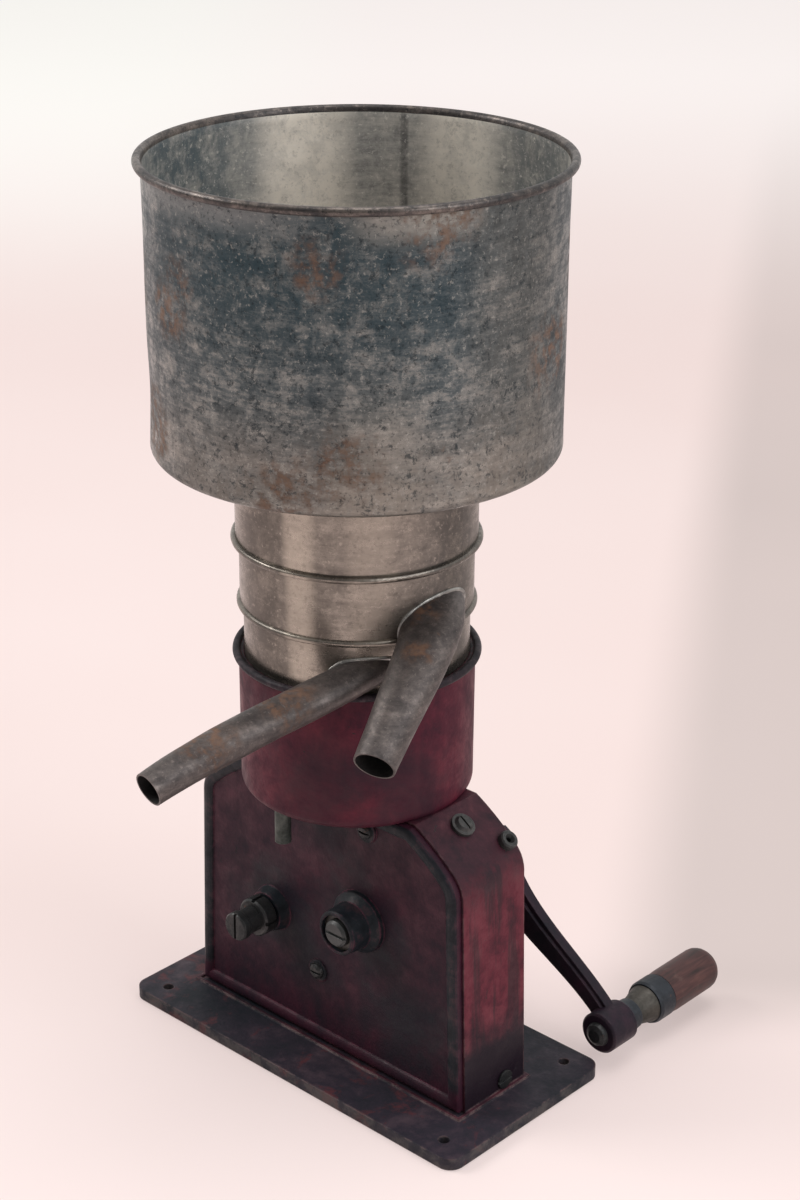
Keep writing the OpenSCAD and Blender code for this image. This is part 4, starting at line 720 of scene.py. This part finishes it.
def bead(name, path, seed, body):
    """Uneven round bead of solder along a closed path, a little flattened on the wall."""
    verts = []
    for i, p in enumerate(path):
        ahead = (path[(i + 1) % len(path)] - path[i - 1]).normalized()
        out = Vector((p.x, p.y - SPINDLE_Y, 0)).normalized()
        side = ahead.cross(out).normalized()
        size = BEAD_R * (1 + BEAD_UNEVEN * noise.noise(p * BEAD_PITCH + Vector((seed, 0, 0))))
        for a in range(BEAD_SIDES):
            angle = TAU * a / BEAD_SIDES
            verts.append(p + out * size * math.cos(angle) * BEAD_FLAT + side * size * math.sin(angle))
    faces = turned_over(grid_faces(len(path), BEAD_SIDES))
    add_piece(name, verts, faces, ["solder"], body, sharp=80)


spout("skim", SKIM_PATH, root=(12, 7), mouth_r=9.4, wall_r=62.3, body="skim_cover", seed=3.1)
spout("cream", CREAM_PATH, root=(17.5, 9), mouth_r=11.4, wall_r=64.2, body="cream_cover", seed=8.7)


# ------------------------------------------------------------------ camera, light and floor (metres)

PICTURE_H = 1200                        # height of the picture, in pixels
FOCAL_PX, SHIFT_PX, SENSOR = 2449.6, 43.0, 36.0
CAMERA_PLACE = (0.8509, -0.8936, 0.8218)
CAMERA_AHEAD, CAMERA_RIGHT, CAMERA_ROLL = (-0.6328, 0.6624, -0.4010), (0.7230, 0.6908, 0.0), -0.108
DARK_SIDE = (0.30, -0.95, -0.1)         # the way to the darker end of the room, in front of the object
BRIGHT_WALLS, DARK_WALLS = 0.76, 0.155
FLOOR_R, FLOOR_DROP, FLOOR_SIDES = 14.0, 0.0006, 96
FLOOR_X, FLOOR_Y = 0.724, 0.69          # the way across the picture on the floor
SHADE_SLOPE, SHADE_START = 0.19, 0.15   # edge of the grey shade, at across = slope * along + start
GLOW, FAR_GLOW = 0.45, 0.07             # share of the floor's colour that it gives off by itself


def place_camera():
    """The camera, with its frame shifted to the side and rolled a little."""
    data = bpy.data.cameras.new("camera")
    data.sensor_fit = "AUTO"
    data.sensor_width = SENSOR
    data.lens = FOCAL_PX / PICTURE_H * SENSOR
    data.shift_x = SHIFT_PX / PICTURE_H
    data.clip_end = 50
    camera = bpy.data.objects.new("camera", data)
    bpy.context.collection.objects.link(camera)
    ahead = Vector(CAMERA_AHEAD).normalized()
    right = Vector(CAMERA_RIGHT).normalized()
    above = right.cross(ahead).normalized()
    cos, sin = math.cos(math.radians(CAMERA_ROLL)), math.sin(math.radians(CAMERA_ROLL))
    right, above = right * cos + above * sin, above * cos - right * sin
    turn = Matrix((right, above, -ahead)).transposed().to_4x4()
    camera.matrix_world = Matrix.Translation(CAMERA_PLACE) @ turn
    bpy.context.scene.camera = camera


def make_world():
    """A bright room with a darker end, all of it pale where the camera sees it."""
    world = bpy.data.worlds.new("world")
    world.use_nodes = True
    bpy.context.scene.world = world
    tree = world.node_tree
    coords = tree.nodes.new("ShaderNodeTexCoord")
    dot = tree.nodes.new("ShaderNodeVectorMath")
    dot.operation = "DOT_PRODUCT"
    dot.inputs[1].default_value = Vector(DARK_SIDE).normalized()
    tree.links.new(coords.outputs["Generated"], dot.inputs[0])
    span = tree.nodes.new("ShaderNodeMapRange")
    span.interpolation_type = "SMOOTHSTEP"
    tree.links.new(dot.outputs["Value"], span.inputs["Value"])
    ends = {"From Min": -0.1, "From Max": 0.85, "To Min": BRIGHT_WALLS, "To Max": DARK_WALLS}
    for key, value in ends.items():
        span.inputs[key].default_value = value
    back = tree.nodes["Background"]
    back.inputs["Color"].default_value = (1.0, 0.985, 0.97, 1)
    seen = tree.nodes.new("ShaderNodeLightPath")
    pale = tree.nodes.new("ShaderNodeMath")
    pale.operation = "MAXIMUM"
    tree.links.new(span.outputs["Result"], pale.inputs[0])
    tree.links.new(seen.outputs["Is Camera Ray"], pale.inputs[1])
    tree.links.new(pale.outputs[0], back.inputs["Strength"])


def add_light(name, place, target, size, power, colour):
    """A square lamp that faces the target."""
    data = bpy.data.lights.new(name, "AREA")
    data.size = size
    data.energy = power
    data.color = colour
    lamp = bpy.data.objects.new(name, data)
    bpy.context.collection.objects.link(lamp)
    lamp.location = place
    lamp.rotation_euler = (Vector(target) - Vector(place)).to_track_quat("-Z", "Y").to_euler()


def floor_colour(k):
    """The floor's colour as seen, and a mask that is 1 far away.

    It is pinkish, grey in the shade at the back right, and pale far off.
    """
    tone = k.noise(1.4, 3, 0.5)
    across = k.plus(k.times(k.axis("X"), FLOOR_X), k.times(k.axis("Y"), FLOOR_Y))
    along = k.plus(k.times(k.axis("X"), -FLOOR_Y), k.times(k.axis("Y"), FLOOR_X))
    seen = k.ramp(tone, [(0.3, (0.850, 0.705, 0.680)), (0.7, (0.875, 0.745, 0.725))])
    seen = k.mix(k.step(along, 0.25, -0.35), seen, (0.99, 0.85, 0.83))
    past = k.minus(across, k.plus(k.times(along, SHADE_SLOPE), SHADE_START))
    grey = k.times(k.step(past, -0.035, 0.045), k.step(along, -0.02, 0.07))
    grey = k.times(grey, k.step(along, 1.9, 0.8, (0.6, 1.0)))
    grey = k.times(grey, k.step(tone, 0.35, 0.65, (0.85, 1.0)))
    seen = k.mix(grey, seen, (0.62, 0.535, 0.515))
    far = k.step(along, 1.25, 2.9)
    seen = k.mix(far, seen, (1.0, 0.94, 0.925))
    seen = k.mix(k.times(far, k.step(across, 0.1, -0.4)), seen, (1.0, 0.985, 0.95))
    return seen, far


def make_floor():
    """A wide flat floor, seen pale by the camera and in reflections, and plain to all other rays."""
    mesh = bpy.data.meshes.new("floor")
    turns = [TAU * i / FLOOR_SIDES for i in range(FLOOR_SIDES)]
    edge = [(FLOOR_R * math.cos(a), FLOOR_R * math.sin(a), -FLOOR_DROP) for a in turns]
    mesh.from_pydata(edge, [], [tuple(range(FLOOR_SIDES))])
    floor = bpy.data.objects.new("floor", mesh)
    bpy.context.collection.objects.link(floor)
    k = Look("floor")
    seen, far = floor_colour(k)
    paths = k.new("ShaderNodeLightPath")
    direct = k.math("MAXIMUM", paths.outputs["Is Camera Ray"], paths.outputs["Is Glossy Ray"])
    glow = k.plus(k.times(far, FAR_GLOW), GLOW)
    k.put(k.bsdf.inputs["Emission Color"], seen)
    k.put(k.bsdf.inputs["Emission Strength"], k.times(direct, glow))
    own = k.mix(GLOW, seen, (0.0, 0.0, 0.0))
    colour = k.mix(direct, (0.62, 0.57, 0.56), own)
    floor.data.materials.append(k.finish(colour, 0.9, Specular_IOR_Level=0.0))


place_camera()
make_world()
make_floor()
add_light("key", (-1.9, -1.2, 2.0), (0, 0, 0.25), 1.3, 39, (1.0, 0.975, 0.95))
add_light("fill", (2.3, 0.2, 1.5), (0, 0, 0.3), 1.4, 22, (0.97, 0.98, 1.0))
add_light("top", (0.2, 0.4, 2.6), (0, 0, 0.3), 1.4, 18, (1.0, 0.99, 0.98))
bpy.context.scene.view_settings.view_transform = "Standard"
